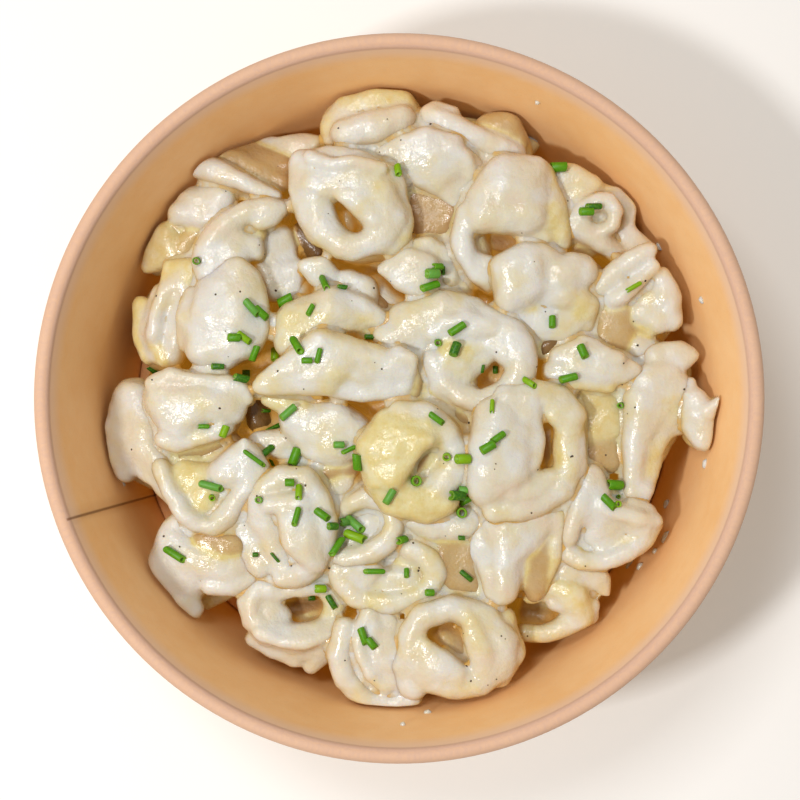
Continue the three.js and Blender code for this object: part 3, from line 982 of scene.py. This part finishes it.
    "right_front_cup": """
0.2: 600 508 39 12, 598 530 38 16, 615 520 12
0.0 edge: 603 505 40 8, 620 512, 640 520, 655 522 38 6
0.3: 612 535 37 15, 630 540 36 12, 604 545 37 13
0.2: 646 514 38 9, 642 530 11, 632 506 8, 620 520 10
0.0 rope: 592 477 39 9, 584 497 40 9, 577 517, 571 537 39 8
0.1: 592 477 39 9, 600 495 10, 590 515 12, 577 517 40 8
0.2 rope: 568 552 37 8, 585 562 38 8, 604 562 9, 625 554, 643 541 37 9, 652 524 36 8
0.9: 625 548 37 8, 640 535, 610 553
1.5: 570 545 36 8, 580 550
1.25: 610 490 36 8, 630 510, 606 500
""",
    "yellow_ring_low": """
0.2: 562 572 35 6, 570 562 8, 590 571 9, 604 580 34 7, 607 592 33 5, 585 580 34 9
0.7 edge: 530 598 34 7, 552 588 35 9, 574 597 36 14, 580 614 35 14, 564 628 33 9, 544 634 32 8, 524 633 31 7
1.4: 530 615 25 14, 545 618 26 12
0.2: 552 604 34 5, 560 607
0.1: 594 605 33 6, 592 618 32 6
""",
    "front_fold": """
0.1: 541 517 40 13, 521 530 41 16, 510 552 17, 552 519 39 9, 495 525 40 10
0.0: 508 552 41 15, 506 575 16, 504 590 15, 514 560 40 12
0.6 rope: 560 516 39 5, 559 538 38 5, 553 562 37 5, 543 590 36 5
1.5: 546 528 38 11, 550 555 37 11, 536 592 9, 522 570 38 13, 520 545 39 10
0.1: 492 574 40 12, 488 560 39 11, 496 590 40 11, 505 572 39 10
0.3: 482 532 38 11, 500 535 39 12, 478 555 37 11, 490 568 38 10
0.2 rope: 508 526 41 8, 503 543
""",
    "hooked_loop": """
0.3 rope: 268 490 41 11, 285 479 42 12, 307 481 13, 320 500, 327 525 12
0.2 rope: 327 525 42 12, 325 548 41 12, 316 566 40 11, 300 577 39 11, 284 580 38 10
0.0: 290 522 43 10, 309 527 14, 308 549, 318 561 42 11, 296 545 43 10
0.3: 262 500 40 10, 266 522 39 13, 276 545 38 15, 284 566 13, 290 530 12
0.2: 272 506 42 10, 288 504 12, 305 505 43 12
0.2: 245 525 36 12, 250 550 13, 262 520 12, 262 570 37 12, 250 562 36 12
1.4: 247 498 36 7, 262 484 6, 240 512 35 7
""",
    "filled_bowl": """
0.2 rope: 330 556 38 8, 350 560 39 9, 374 555 40 10, 390 544, 398 526 9, 394 510 8
0.1: 352 534 37 14, 371 526 16, 360 545 13
0.2 rope: 338 520 38 7, 352 508 39 8, 368 498 40 9, 386 503 8
0.1: 352 500 37 10, 372 490 9, 345 512 10
""",
    "double_rim": """
0.4 rope: 410 550 38 9, 430 560, 439 575 10, 431 592, 410 601
0.3 rope: 410 601 38 10, 385 603, 360 597 9, 346 583, 338 568 7
0.3: 388 582 37 14, 411 580, 366 580 12
0.1: 352 570 38 8, 378 570 6, 368 582 7
0.9: 405 562 36 9, 422 566
""",
    "fallen_ring": """
0.2 edge: 262 588 36 11, 254 604 12, 258 620 13, 272 634 14, 295 640, 320 636 13, 336 628 35 12
0.1 edge: 262 588 36 11, 283 592 9, 308 587, 331 584 35 10
0.4 edge: 331 588 35 11, 340 604 34 10, 334 618 9
0.3: 268 604 35 10, 275 628 12, 262 615 10
0.0 rope: 255 640 33 7, 275 651 8, 300 658 32 8
0.1: 320 652 33 10, 315 666 31 7, 332 650 33 8
0.1: 290 650 33 10, 325 648 34 10
0.5: 295 585 34 10, 330 582 12
0.0 edge: 262 634 37 5, 285 644, 310 645, 330 636 36 5
1.8: 278 614 29 12, 300 610 27 12, 322 604 10
0.3: 272 606 35 10, 284 618 34 9
""",
    "notched_flap": """
0.1: 177 541 36 16, 171 569 35 19, 197 560 37 20, 190 590 34 17
0.1: 195 560 37 18, 234 571 16, 249 564 36 14, 215 560 37 14
0.2: 188 600 34 14, 197 611 33 9
0.2: 185 522 35 10, 177 532 11
0.0: 155 576 32 8, 160 600
0.1 rope: 214 588 36 9, 235 587, 254 580
1.5: 208 541 37 13, 240 545, 225 552
""",
    "front_hat": """
0.2 edge: 345 630 37 10, 341 654 11, 349 678, 366 695 36 11, 393 704 10, 414 699
0.2: 380 646 38 15, 400 660 20, 410 680 37 16, 388 638 38 13, 389 660 18
0.1: 372 614 38 10, 368 630 11, 380 645 13
1.2: 360 655 34 8, 366 676, 384 690
0.2: 392 622 37 10, 384 612 8, 400 640 10
0.3 edge: 362 640 38 6, 364 656, 373 672, 390 686 37 6
""",
    "ring_in_front": """
0.2 edge: 424 619 41 11, 455 608 13, 484 617 16, 501 640 17, 499 664 40 17, 480 681 14
0.3 edge: 480 681 40 14, 455 683 15, 430 674 16, 413 656 15, 412 636 13, 424 619 41 12
0.3: 426 648 41 9, 441 662 10, 461 675, 430 668 12
0.4: 473 622 42 9, 484 645 11, 483 664 41 12
0.4: 506 620 38 12, 513 650 13, 500 675 37 12
0.1: 404 664 39 12, 415 685 38 13
1.4: 446 640 36 9, 466 658 8, 460 638 35 9
1.6: 434 634 34 9, 452 628 8
""",
    # Sheets low in the gaps; most are painted tan or dark brown, as shade.
    "shaded_sheets_in_gaps": """
1.25: 588 393 37 16, 610 396 14, 612 432, 588 434 16
1.5: 588 450 36 14, 610 450, 614 462 12, 586 464
1.6: 412 200 37 14, 440 200, 458 218, 455 234 36 12, 420 236 13
1.5: 448 545 37 14, 476 548, 482 585 36 14, 455 588, 442 570 37 13
0.1: 264 238 35 10, 284 236 34 9, 290 256 10, 264 264 35 11
0.0: 268 274 35 10, 300 270 9, 296 290 11, 272 292 10
2.1: 303 236 32 10, 322 256 8
2.1: 258 404 34 10, 262 424 33 11
0.1: 412 520 39 8, 436 532 9, 466 531 8, 478 520 38 9, 440 512 10
1.5: 404 540 37 8, 440 546 9, 462 540 8
1.6: 370 300 36 9, 382 312 8
1.9: 545 352 39 9, 556 344 7
1.5: 470 490 37 9, 478 505
""",
}
print("forms of the upper layer:", len(SHAPES))

# %% [markdown]
# Two trees turn the rows into dough. The first wraps a hull round balls. The second melts a
# piece's hulls into one skin by a distance field, rounds the creases, bends and kneads it
# with noise, and brings over how bare each fold is.

# %% The dough trees
BARE_ROUNDS = 4


def hull_graph():
    graph, size = geometry_graph("hull", {"Bare": 0.0})
    ball = graph.get("GeometryNodeMeshIcoSphere", {}, {"Radius": MM, "Subdivisions": 3}, "Mesh")
    balls = graph.copies(size("Geometry"), ball, [graph.named("radius")] * 3)
    balls = graph.get("GeometryNodeRealizeInstances", {}, {"Geometry": balls})
    wrapped = graph.get("GeometryNodeConvexHull", {}, {"Geometry": balls})
    graph.node("NodeGroupOutput", {}, {"Geometry": graph.store(wrapped, "bare", size("Bare"))})
    return graph


def melted(graph, size, band):
    """What comes into the tree as one rounded skin, which knows how bare each part is."""
    source = size("Geometry")
    values = {"Mesh": source, "Voxel Size": size("Voxel") * MM, "Band Width": band}
    field = graph.get("GeometryNodeMeshToSDFGrid", {}, values)
    values = {"Grid": field, "Threshold": size("Grow") * MM}
    skin = graph.get("GeometryNodeGridToMesh", {}, values)
    values = {"Mesh": source, "Value": graph.named("bare")}
    bare = graph.get("GeometryNodeSampleNearestSurface", {}, values)
    skin = graph.store(skin, "bare", graph.blur(bare, BARE_ROUNDS))
    return graph.rounded(skin, size("Rounds"))


def dough_graph():
    sizes = {"Voxel": 0.65, "Grow": 0.3, "Rounds": 2, "Bend": 2.2, "Knead": 1.0, "Seed": 1.0}
    graph, size = geometry_graph("dough", {**sizes, "Material": "material"})
    skin = melted(graph, size, 3)
    place = graph.place()
    bend = graph.noise(place, 70, 1, "Color", W=size("Seed") * 3.1) - 0.5
    knead = graph.get(
        "ShaderNodeTexVoronoi", {"voronoi_dimensions": "4D", "feature": "SMOOTH_F1"},
        {"Vector": place, "W": size("Seed") * 5.7, "Scale": 110.0, "Smoothness": 0.5}, "Distance",
    )
    push = graph.normal() * ((knead - 0.45) * size("Knead") * MM)
    skin = graph.moved(skin, Offset=bend * (size("Bend") * MM) + push)
    finished(graph, skin, size("Material"))
    return graph


wrap = hull_graph()
dough = dough_graph()
print("dough trees:", wrap.tree.name, dough.tree.name)

# %% From rows to dough
VIEW_MIDDLE = (399.3, 398.5)
VIEW_STEP = 0.2055
ROPE_FLOOR = 3.2
PIECE_FLOOR = 9.0


def seen(across, down, top, radius):
    """The middle and the radius in mm of a ball seen at this place, with its top so high."""
    far = CAMERA_AT.z / MM - RIM_TOP
    reach = radius * VIEW_STEP * (1 + (RIM_TOP - top) / far)
    height = top - reach
    drop = (RIM_TOP - height) / far
    x = (across - VIEW_MIDDLE[0]) * VIEW_STEP
    y = (VIEW_MIDDLE[1] - down) * VIEW_STEP
    return (x + (x - CAMERA_AT.x / MM) * drop, y + (y - CAMERA_AT.y / MM) * drop, height), reach


def read_balls(row):
    """The balls of one fold; a height or a radius that is left out is the one before."""
    balls = []
    top = radius = 0
    for entry in row.split(","):
        across, down, *rest = (float(word) for word in entry.split())
        top = rest[0] if len(rest) == 2 else top
        radius = rest[-1] if rest else radius
        balls.append(seen(across, down, top, radius))
    return balls


def lowered(balls, drop, share=1.0):
    """The same balls, further down and a little smaller."""
    return [((x, y, z - drop), reach * share) for (x, y, z), reach in balls]


def wrapped(balls, bare):
    """A hull round these balls."""
    middles, reaches = zip(*balls)
    return shaped(wrap, point_cloud("balls", middles, {"radius": reaches}), {"Bare": bare})


def folded_tortellino(name, rows, seed):
    """One tortellino's mesh from the rows that list its folds."""
    hulls = []
    everything = []
    for row in rows.strip().split("\n"):
        kind, places = row.split(":")
        bare, *edge = kind.split()
        balls = read_balls(places)
        everything += balls
        groups = zip(balls, balls[1:]) if edge else [balls]
        hulls += [wrapped(group, float(bare)) for group in groups]
        if "rope" in edge:
            hulls.append(wrapped(lowered(balls, ROPE_FLOOR), 0.6))
    hulls.append(wrapped(lowered(everything, PIECE_FLOOR, 0.8), 0.8))
    return shaped(dough, joined(name, hulls), {"Seed": float(seed), "Material": pasta})


# %% [markdown]
# Eleven more lie below them and show only in the gaps, so they share one plain form: a bent
# belly and a flap. They differ in place and turn, and in how the noise kneads them, and
# are painted partly tan, as shade.

# %% The lower tortellini
# Each: across, down, the height of the top in mm, and which way it points, in degrees.
LOWER = [
    (176, 336, 27, 30), (291, 262, 29, 200), (298, 179, 30, 100), (500, 160, 31, 20),
    (632, 345, 31, 70), (439, 249, 30, 300), (284, 440, 25, 60), (350, 490, 30, 120),
    (469, 562, 30, 90), (609, 455, 29, 330), (415, 624, 29, 150),
]


def plain_folds(across, down, top, turn):
    """The rows of a plain tortellino: a bent belly and a flap that points along the turn."""
    def ball(angle, reach, drop, radius):
        bearing = math.radians(turn + angle)
        x, y = across + reach * math.cos(bearing), down - reach * math.sin(bearing)
        return f"{x:.0f} {y:.0f} {top - drop} {radius}"

    belly = [ball(angle, 22, 1, 17) for angle in (110, 150, 180, 210, 250)]
    flap = [ball(60, 20, 3, 9), ball(0, 34, 4, 8), ball(-60, 20, 3, 9), ball(180, 8, 1, 12)]
    # Bare values of 1.3 and 1.2 paint these lower pieces partly tan, as shade.
    return f"1.3 rope: {', '.join(belly)}\n1.2: {', '.join(flap)}"


folds = list(SHAPES.values()) + [plain_folds(*row) for row in LOWER]
meshes = [folded_tortellino(f"tortellino_{i}", rows, i) for i, rows in enumerate(folds)]
QUARTER = len(meshes) // 4
batches = {
    f"tortellini_{part}": joined(part, meshes[i * QUARTER:(i + 1) * QUARTER])
    for i, part in enumerate(("back", "left", "front", "low"))
}
print("tortellini:", len(meshes))

# %% [markdown]
# ## Cream sauce
#
# Sauce fills the creases between pieces and pools below them. The same happens in three
# steps of Geometry Nodes: all the pasta and a mound under it are turned into one distance
# field and read back a little too large, which closes narrow gaps; the skin is blurred, which
# rounds it off and fills hollows; and it is drawn in again by as much as it grew. On open
# faces the skin then lies just under the pasta, and in creases it stands above it.

# %% The sauce tree
MOUND = [(ON_AXIS, 32), (20, 32), (36, 29), (48, 23), (56, 16), (60.5, 11), (61.5, 8.2), (ON_AXIS, 8.2)]


def mound_mesh():
    """The mound of hidden pasta and sauce that the heap lies on."""
    return turned([(radius, height, 0) for radius, height in MOUND[::-1]], "mound", sauce)


def sauce_graph():
    sizes = {"Voxel": 0.92, "Grow": 0.25, "Sink": 0.55, "Rounds": 2, "Material": "material"}
    graph, size = geometry_graph("sauce", sizes)
    drawn_in = graph.normal() * ((size("Grow") + size("Sink")) * (-MM))
    skin = graph.moved(melted(graph, size, 4), Offset=drawn_in)
    finished(graph, graph.rounded(skin, 2), size("Material"))
    return graph


raw_heap = joined("raw", [mesh.copy() for mesh in batches.values()] + [mound_mesh()])
sauce_mesh = shaped(sauce_graph(), raw_heap.copy(), {"Material": sauce})
print("sauce skin:", len(sauce_mesh.polygons), "faces")

# %% [markdown]
# ## Settling the heap
#
# The last tree finishes both pasta and sauce. It raises the slow lumps of a thick sauce,
# presses whatever leans on the wall flat against it, and measures how sheltered each point
# is: rays go up and out over the heap, and the share that soon meets another piece tells how
# deep in a crease the point lies; the finishes paint shade and a glow there from it. It also
# marks the steep faces, where sauce drains off and the finishes paint shade.

# %% The settling tree
WALL_CLEAR = 0.35
WALL_SOFTNESS = 1.2
SHELTER_REACH = 15
SHELTER_START = 0.25
SHELTER_RAYS = 8
SHELTER_ROUNDS = 3


def sheltered(graph, heap, reach):
    """Share of the rays over a point that meet the heap close by."""
    normal = graph.normal()
    start = graph.place() + normal * (SHELTER_START * MM)
    total = 0
    directions = [(0, 0, 1)]
    for i in range(SHELTER_RAYS):
        turn = math.tau * i / SHELTER_RAYS
        directions.append((0.75 * math.cos(turn), 0.75 * math.sin(turn), 0.66))
    for direction in directions:
        ray = graph.math("NORMALIZE", normal * 0.7 + direction)
        values = {"Target Geometry": heap, "Source Position": start, "Ray Direction": ray}
        hit = graph.node("GeometryNodeRaycast", {}, {**values, "Ray Length": reach})
        near = 1 - graph.out(hit, "Hit Distance") / reach * 0.45
        total = graph.out(hit, "Is Hit") * near + total
    return total / len(directions)


def settle_graph():
    sizes = {"Lump": 0.32, "Heap": "object", "Material": "material"}
    graph, size = geometry_graph("settle", sizes)
    # How closed in each point is; the finishes paint crease shade and a glow from it.
    shelter = sheltered(graph, graph.other(size("Heap")), SHELTER_REACH * MM)
    skin = graph.store(size("Geometry"), "shelter", graph.blur(shelter, SHELTER_ROUNDS))
    place = graph.place()
    slow = graph.noise(place, 170, 1) - 0.5
    quick = graph.noise(place, 420, 1) - 0.5
    relief = graph.normal() * ((slow * 3.2 + quick * 1.1) * size("Lump") * MM)
    skin = graph.moved(skin, Offset=relief)

    flat = place * (1, 1, 0)
    radius = graph.math("LENGTH", flat) / MM
    wall_foot = SLEEVE_FOOT_RADIUS - WALL_CLEAR - LAP_STEP
    wall = place.part("Z") / MM * SLEEVE_SLOPE + wall_foot
    pressed = graph.math("SMOOTH_MIN", radius, wall, WALL_SOFTNESS)
    across = flat * (pressed / radius.at_least(0.001))
    height = place.part("Z").at_least((FLOOR_TOP + GAP) * MM)
    skin = graph.moved(skin, Position=across + graph.vector(0, 0, height))
    # Steep faces: the finishes show more dough there, where sauce drains, and paint shade on them.
    steep = 1 - graph.normal().part("Z").smooth(0.1, 0.75)
    skin = graph.store(skin, "drained", graph.blur(steep, SHELTER_ROUNDS))
    finished(graph, skin, size("Material"))
    return graph


settle = settle_graph()
proxy = placed("heap_proxy", raw_heap)
heap_pieces = []
for name, mesh in batches.items():
    heap_pieces.append(add_piece(name, shaped(settle, mesh, {"Heap": proxy, "Material": pasta})))
sauce_sizes = {"Lump": 0.4, "Heap": proxy, "Material": sauce}
cream = add_piece("cream_sauce", shaped(settle, sauce_mesh, sauce_sizes))
heap_pieces.append(cream)

# %% [markdown]
# ## Chives
#
# The bits of chive are short hollow tubes, so one tube is modelled and the tree drops it
# onto the heap at each place: a ray straight down finds the surface, and the tube is turned
# to lie along the slope there, or to stand on end where it shows as a ring.

# %% Places of the chives
# Each bit: X and Y, the turn of its length from +X, its length, its width, its tone
# (d dark, g green, y yellow-green, t under sauce), and | where it stands on end.
CHIVES = """
-44 30 0 1.4 2 d |; -16 24.5 115 4.2 1.8 g; -12.5 24 0 2 1.2 d; -25 21.5 20 3.6 2.6 g
-32 19.5 135 4 2 t; -30 18.5 140 3.4 2 g; -19 19 60 2.4 1.4 g; -35.5 13 0 2.6 2.2 g
-33.5 13 145 3.2 1.8 y; -31.5 10 75 3.6 1.8 g; -28 10 90 2.6 2.2 y; -39.5 7 0 2.6 1.6 d
-34.5 4 0 3 2 d; -34.5 6 0 1.8 1.8 d; -56.5 7 115 3.6 1.4 d; -21.5 11 125 3.6 2 g
-19.5 8 0 2.2 1.6 g; -17 9 75 3 1.4 g; -6.5 13.5 0 2 1.4 d; -0.5 49 90 2.2 1.8 y
34.6 50.2 0 3.4 2.6 g; 40.5 40.5 0 2.8 2.2 g; 42 41.5 0 3 1.6 d; 7 27 0 2.6 2.6 t
8 28.5 0 2 1.8 g; 9.5 28 90 1.8 1 d; 6.5 24.5 15 3.6 2 g; 50.5 24 30 3.2 1.2 y
12.5 15 35 3.8 2 g; 8.5 12 0 1.4 1.8 g |; 12 10.5 70 2.8 2.4 d; 33 16.5 90 2.4 1.8 g
39.5 10 115 2.8 2.2 g; 36.5 4.5 15 3.6 2 g; 18 6.5 90 2 0.8 d; 21 6.5 90 1.6 1.4 d
28 3 140 2.8 1.6 y; -42.5 -6 0 2.4 1.2 g; -38 -7 70 2.6 2 y; -24 -3 40 4 2 t
-28 -6.5 35 4.4 1.4 d; -30 -2.5 0 1.8 1 d; -31.5 -13 145 5 1.2 g; -29.5 -11.5 35 3.2 1.8 d
-28.5 -13.5 90 3 0.8 d; -23 -12.5 70 4 2.6 g; -13 -10 0 2.2 1.8 t; -11 -11 25 3 1.2 g
-8.5 -13.5 75 3.8 2.2 g; -41 -19 165 4.6 2 t; -41 -21.5 0 1.4 1.6 y |; -23.5 -18 0 2 2 g
-21.5 -20.5 90 2.8 1.8 y; -22 -25.5 75 3.6 1.6 g; -30 -22 0 1.4 1.8 t |; -16.5 -25 145 3.2 2 g
-14.5 -27.5 0 2 2 d; -12 -26.5 0 2.4 2.2 t; -9.5 -27.5 140 4 2.2 t; -9.5 -30 160 4.4 2.4 y
-14 -32 40 4.2 1.8 g; 0 -30.5 0 2.2 2 g; -2 -21 60 3.4 2 t; -49 -34 150 4.6 2 g
-31.5 -34 0 1.2 1.2 d; -27 -34.5 130 2.4 0.8 d; -5.5 -37.5 0 4 1.4 g; -17.5 -41.5 0 2.2 2.2 y
-15 -44.5 120 3.2 1.6 d; -20 -44.5 0 1.4 1.4 d; -8 -51.5 110 3.6 2 g; -6 -53 130 2.6 2 g
8 -4.5 145 3.4 1.6 g; 20 -2 90 2.6 1.2 y; 19 -10.5 30 3.2 2.4 g; 21 -8.5 35 3 1.8 g
3.5 -18 0 1.4 2.6 g |; 10.5 -12.5 0 1.4 2 y |; 13.5 -13 0 2.8 2.6 y; 12 -21 0 3 2.6 d
14 -19.5 0 2 1.8 t; 14.5 -22 30 3.6 1.8 g; 13.5 -25 0 1.6 2.6 g |; 13.5 -30 0 1.4 1.2 d
14.5 -38.5 140 3 1.4 d; 6.5 -42 0 1.8 1.8 g; 1.5 -38 90 1.8 1.4 g; 48.5 -1.5 0 1.4 1.6 g |
46.5 -19 0 3.2 2.6 g; 45 -22.5 135 3.6 2 g; 47 -23 0 1.2 1.6 y |; 47.5 -21.5 0 1.2 1 d |
"""


ABOVE_ALL = 100


def chive_points():
    rows = [entry.split() for entry in CHIVES.strip().replace("\n", ";").split(";")]
    places = [(float(row[0]), float(row[1]), ABOVE_ALL) for row in rows]
    values = {
        "turn": [math.radians(float(row[2])) for row in rows],
        "long": [float(row[3]) for row in rows],
        "wide": [float(row[4]) for row in rows],
        "tone": [CHIVE_TONES[row[5]] for row in rows],
        "upright": [row[-1] == "|" for row in rows],
    }
    print("chives:", len(rows))
    return point_cloud("chive_points", places, values)


# %% One cut tube
TUBE_SIDES = 14
TUBE_BORE = 0.62
TUBE_FLATNESS = 0.92
TUBE_OUTLINE = [
    (1, -0.5), (1, 0.0), (1, 0.5), (0.93, 0.54), (TUBE_BORE, 0.5), (TUBE_BORE, -0.5), (0.93, -0.54),
]
FIRST_INNER = 3


def chive_tube():
    """A hollow tube one millimetre long and wide, with rounded, slightly slanted cuts."""
    points = []
    for step in range(TUBE_SIDES):
        angle = math.tau * step / TUBE_SIDES
        for share, height in TUBE_OUTLINE:
            x = 0.5 * share * math.cos(angle)
            slant = 0.25 * x if height else 0
            points.append((x, 0.5 * share * math.sin(angle) * TUBE_FLATNESS, height + slant))
    count = len(TUBE_OUTLINE)
    mesh = mesh_of("chive_tube", points, ring_faces(TUBE_SIDES, count))
    mark(mesh, "inner", [i % count >= FIRST_INNER for i in range(len(points))])
    return mesh


tube = placed("tube", chive_tube())
print("faces of one tube:", len(tube.data.polygons))

# %% The strewing tree
CHIVE_SHARE = 0.92
CHIVE_LIFT = 0.36
MISSED_BELOW = 15


def strewn_graph():
    """Drops the tube at every point onto the heap and lays it along the slope."""
    sizes = {"Heap": "object", "Bit": "object", "Material": "material"}
    graph, size = geometry_graph("strewn", sizes)
    values = {"Target Geometry": graph.other(size("Heap")), "Ray Direction": (0, 0, -1)}
    hit = graph.node("GeometryNodeRaycast", {}, {**values, "Ray Length": 0.2})
    slope = graph.math("NORMALIZE", graph.out(hit, "Hit Normal") + (0, 0, 0.7))
    lifted = graph.out(hit, "Hit Position") + slope * (graph.named("wide") * (CHIVE_LIFT * MM))
    points = graph.store(size("Geometry"), "slope", slope, "FLOAT_VECTOR")
    points = graph.moved(points, Position=lifted)
    missed = graph.math("LESS_THAN", graph.place().part("Z"), MISSED_BELOW * MM)
    values = {"Geometry": points, "Selection": missed}
    points = graph.get("GeometryNodeDeleteGeometry", {}, values)

    up = graph.named("slope", "FLOAT_VECTOR")
    turn = graph.named("turn")
    flat = graph.vector(turn.cos(), turn.sin(), 0)
    side = graph.math("CROSS_PRODUCT", up, flat)
    lying = graph.math("NORMALIZE", graph.math("CROSS_PRODUCT", side, up))
    axis = graph.get(
        "ShaderNodeMix", {"data_type": "VECTOR"},
        {"Factor": graph.named("upright"), "A": lying, "B": up + (0.25, -0.2, 0.4)},
    )
    turned_to = graph.get(
        "FunctionNodeAxesToRotation", {"primary_axis": "Z", "secondary_axis": "X"},
        {"Primary Axis": axis, "Secondary Axis": up + flat * 0.01},
    )
    wide = graph.named("wide") * CHIVE_SHARE
    long = graph.named("long") * CHIVE_SHARE
    bits = graph.copies(points, graph.other(size("Bit")), (wide, wide, long), Rotation=turned_to)
    finished(graph, bits, size("Material"))
    return graph


surface = placed("surface", joined("surface", [piece.data.copy() for piece in heap_pieces]))
chive_sizes = {"Heap": surface, "Bit": tube, "Material": chive}
chives = add_piece("chives", shaped(strewn_graph(), chive_points(), chive_sizes))

# %% [markdown]
# ## Pepper, and drops of sauce on the paper
#
# Ground pepper lies scattered, so its tree spreads points over the upward faces of the
# heap and puts a rough crumb on each. Where sauce was flicked or dragged on the wall a few
# flat drops remain. They are the same kind of thing: a small round form, flattened, on a
# point. The drops' places are given as a turn round the bowl and a height.

# %% The crumb tree
PEPPER_STEEPEST = 0.35
PEPPER_LOWEST = 30
PEPPER_FLATNESS = 0.45


def crumb_form(name):
    """A small uneven lump two units across."""
    rough = ShapeGraph(bpy.data.node_groups.new(name, "GeometryNodeTree"))
    rough.tree.interface.new_socket("Geometry", in_out="OUTPUT", socket_type="NodeSocketGeometry")
    ball = rough.get("GeometryNodeMeshIcoSphere", {}, {"Radius": 1.0, "Subdivisions": 2}, "Mesh")
    place = rough.place()
    ball = rough.moved(ball, Position=place * (rough.noise(place, 0.9, 1) * 0.9 + 0.55))
    rough.node("NodeGroupOutput", {}, {"Geometry": ball})
    return shaped(rough, bpy.data.meshes.new(name), {})


def pepper_graph():
    sizes = {"Count per area": 5200.0, "Small": 0.12, "Large": 0.27, "Seed": 3, "Heap": "object",
             "Crumb": "object", "Material": "material"}
    graph, size = geometry_graph("pepper", sizes)
    upward = graph.math("GREATER_THAN", graph.normal().part("Z"), PEPPER_STEEPEST)
    high = graph.math("GREATER_THAN", graph.place().part("Z"), PEPPER_LOWEST * MM)
    spread = graph.node(
        "GeometryNodeDistributePointsOnFaces", {},
        {"Mesh": graph.other(size("Heap")), "Selection": upward * high,
         "Density": size("Count per area"), "Seed": size("Seed")},
    )
    values = {"Min": size("Small"), "Max": size("Large"), "Seed": size("Seed")}
    across = graph.get("FunctionNodeRandomValue", {"data_type": "FLOAT"}, values, "Value") * MM
    bits = graph.copies(
        graph.out(spread, "Points"), graph.other(size("Crumb")),
        (across, across, across * PEPPER_FLATNESS), Rotation=graph.out(spread, "Rotation"),
    )
    finished(graph, bits, size("Material"))
    return graph


crumb = placed("crumb", crumb_form("crumb"))
pepper_sizes = {"Heap": surface, "Crumb": crumb, "Material": pepper}
pepper_mesh = shaped(pepper_graph(), bpy.data.meshes.new("none"), pepper_sizes)
specks = add_piece("pepper_specks", pepper_mesh)

# %% Drops on the wall
# Each drop: the turn round the bowl, the height, and the half sizes along and up the wall.
DROPS = [
    (-27.4, 27, 1.1, 0.5), (-21.3, 18, 0.8, 0.7), (-35.2, 15, 1.3, 0.6), (-30.7, 25.5, 0.5, 0.4),
    (-34.8, 22.3, 0.7, 0.5), (-54, 19, 0.9, 0.7), (-84.9, 37.7, 0.6, 0.4), (-89.3, 44.6, 0.4, 0.4),
    (63.2, 24.6, 0.9, 0.7), (30.6, 29.4, 0.7, 0.6), (-163.4, 24.3, 0.7, 0.5), (-56.4, 15.6, 0.8, 0.6),
    (-112.7, 12.5, 0.6, 0.5), (64.8, 46.2, 0.4, 0.3), (18, 40, 0.6, 0.4), (-12, 36, 0.8, 0.4),
]
DROP_HIGH = 0.6
DROP_SPREAD = 1.4


def drops_mesh():
    """Flattened crumbs that lie on the sleeve, each turned to the wall there."""
    lean = math.atan(SLEEVE_SLOPE)
    parts = []
    for turn, height, along, up in DROPS:
        part = crumb.data.copy()
        angle = math.radians(turn)
        radius = sleeve_radius(height) - LAP_STEP * 0.2
        place = Vector((radius * math.cos(angle), radius * math.sin(angle), height)) * MM
        turned_to = Matrix.Rotation(angle, 4, "Z") @ Matrix.Rotation(lean, 4, "Y")
        sizes = (DROP_HIGH, DROP_SPREAD * along, DROP_SPREAD * up)
        flat = Matrix.Diagonal((*(size * MM for size in sizes), 1))
        part.transform(Matrix.Translation(place) @ turned_to @ flat)
        parts.append(part)
    mesh = joined("drops", parts)
    mesh.materials.clear()
    mesh.materials.append(sauce)
    mesh.shade_smooth()
    return mesh


drops = add_piece("sauce_drops", drops_mesh())

# %% Clear the helpers, hide the CAD parts and attach the new pieces
for helper in (proxy, surface, tube, crumb):
    bpy.data.objects.remove(helper)
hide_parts("bowl_wall")
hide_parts("bowl_base")
for piece in (sleeve, paper_floor):
    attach(piece, "root")
for piece in heap_pieces:
    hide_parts("tortellini_heap")
    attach(piece, "root")

for piece, finish in ((chives, "chive"), (specks, "pepper"), (drops, "cream_sauce")):
    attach(piece, "root")
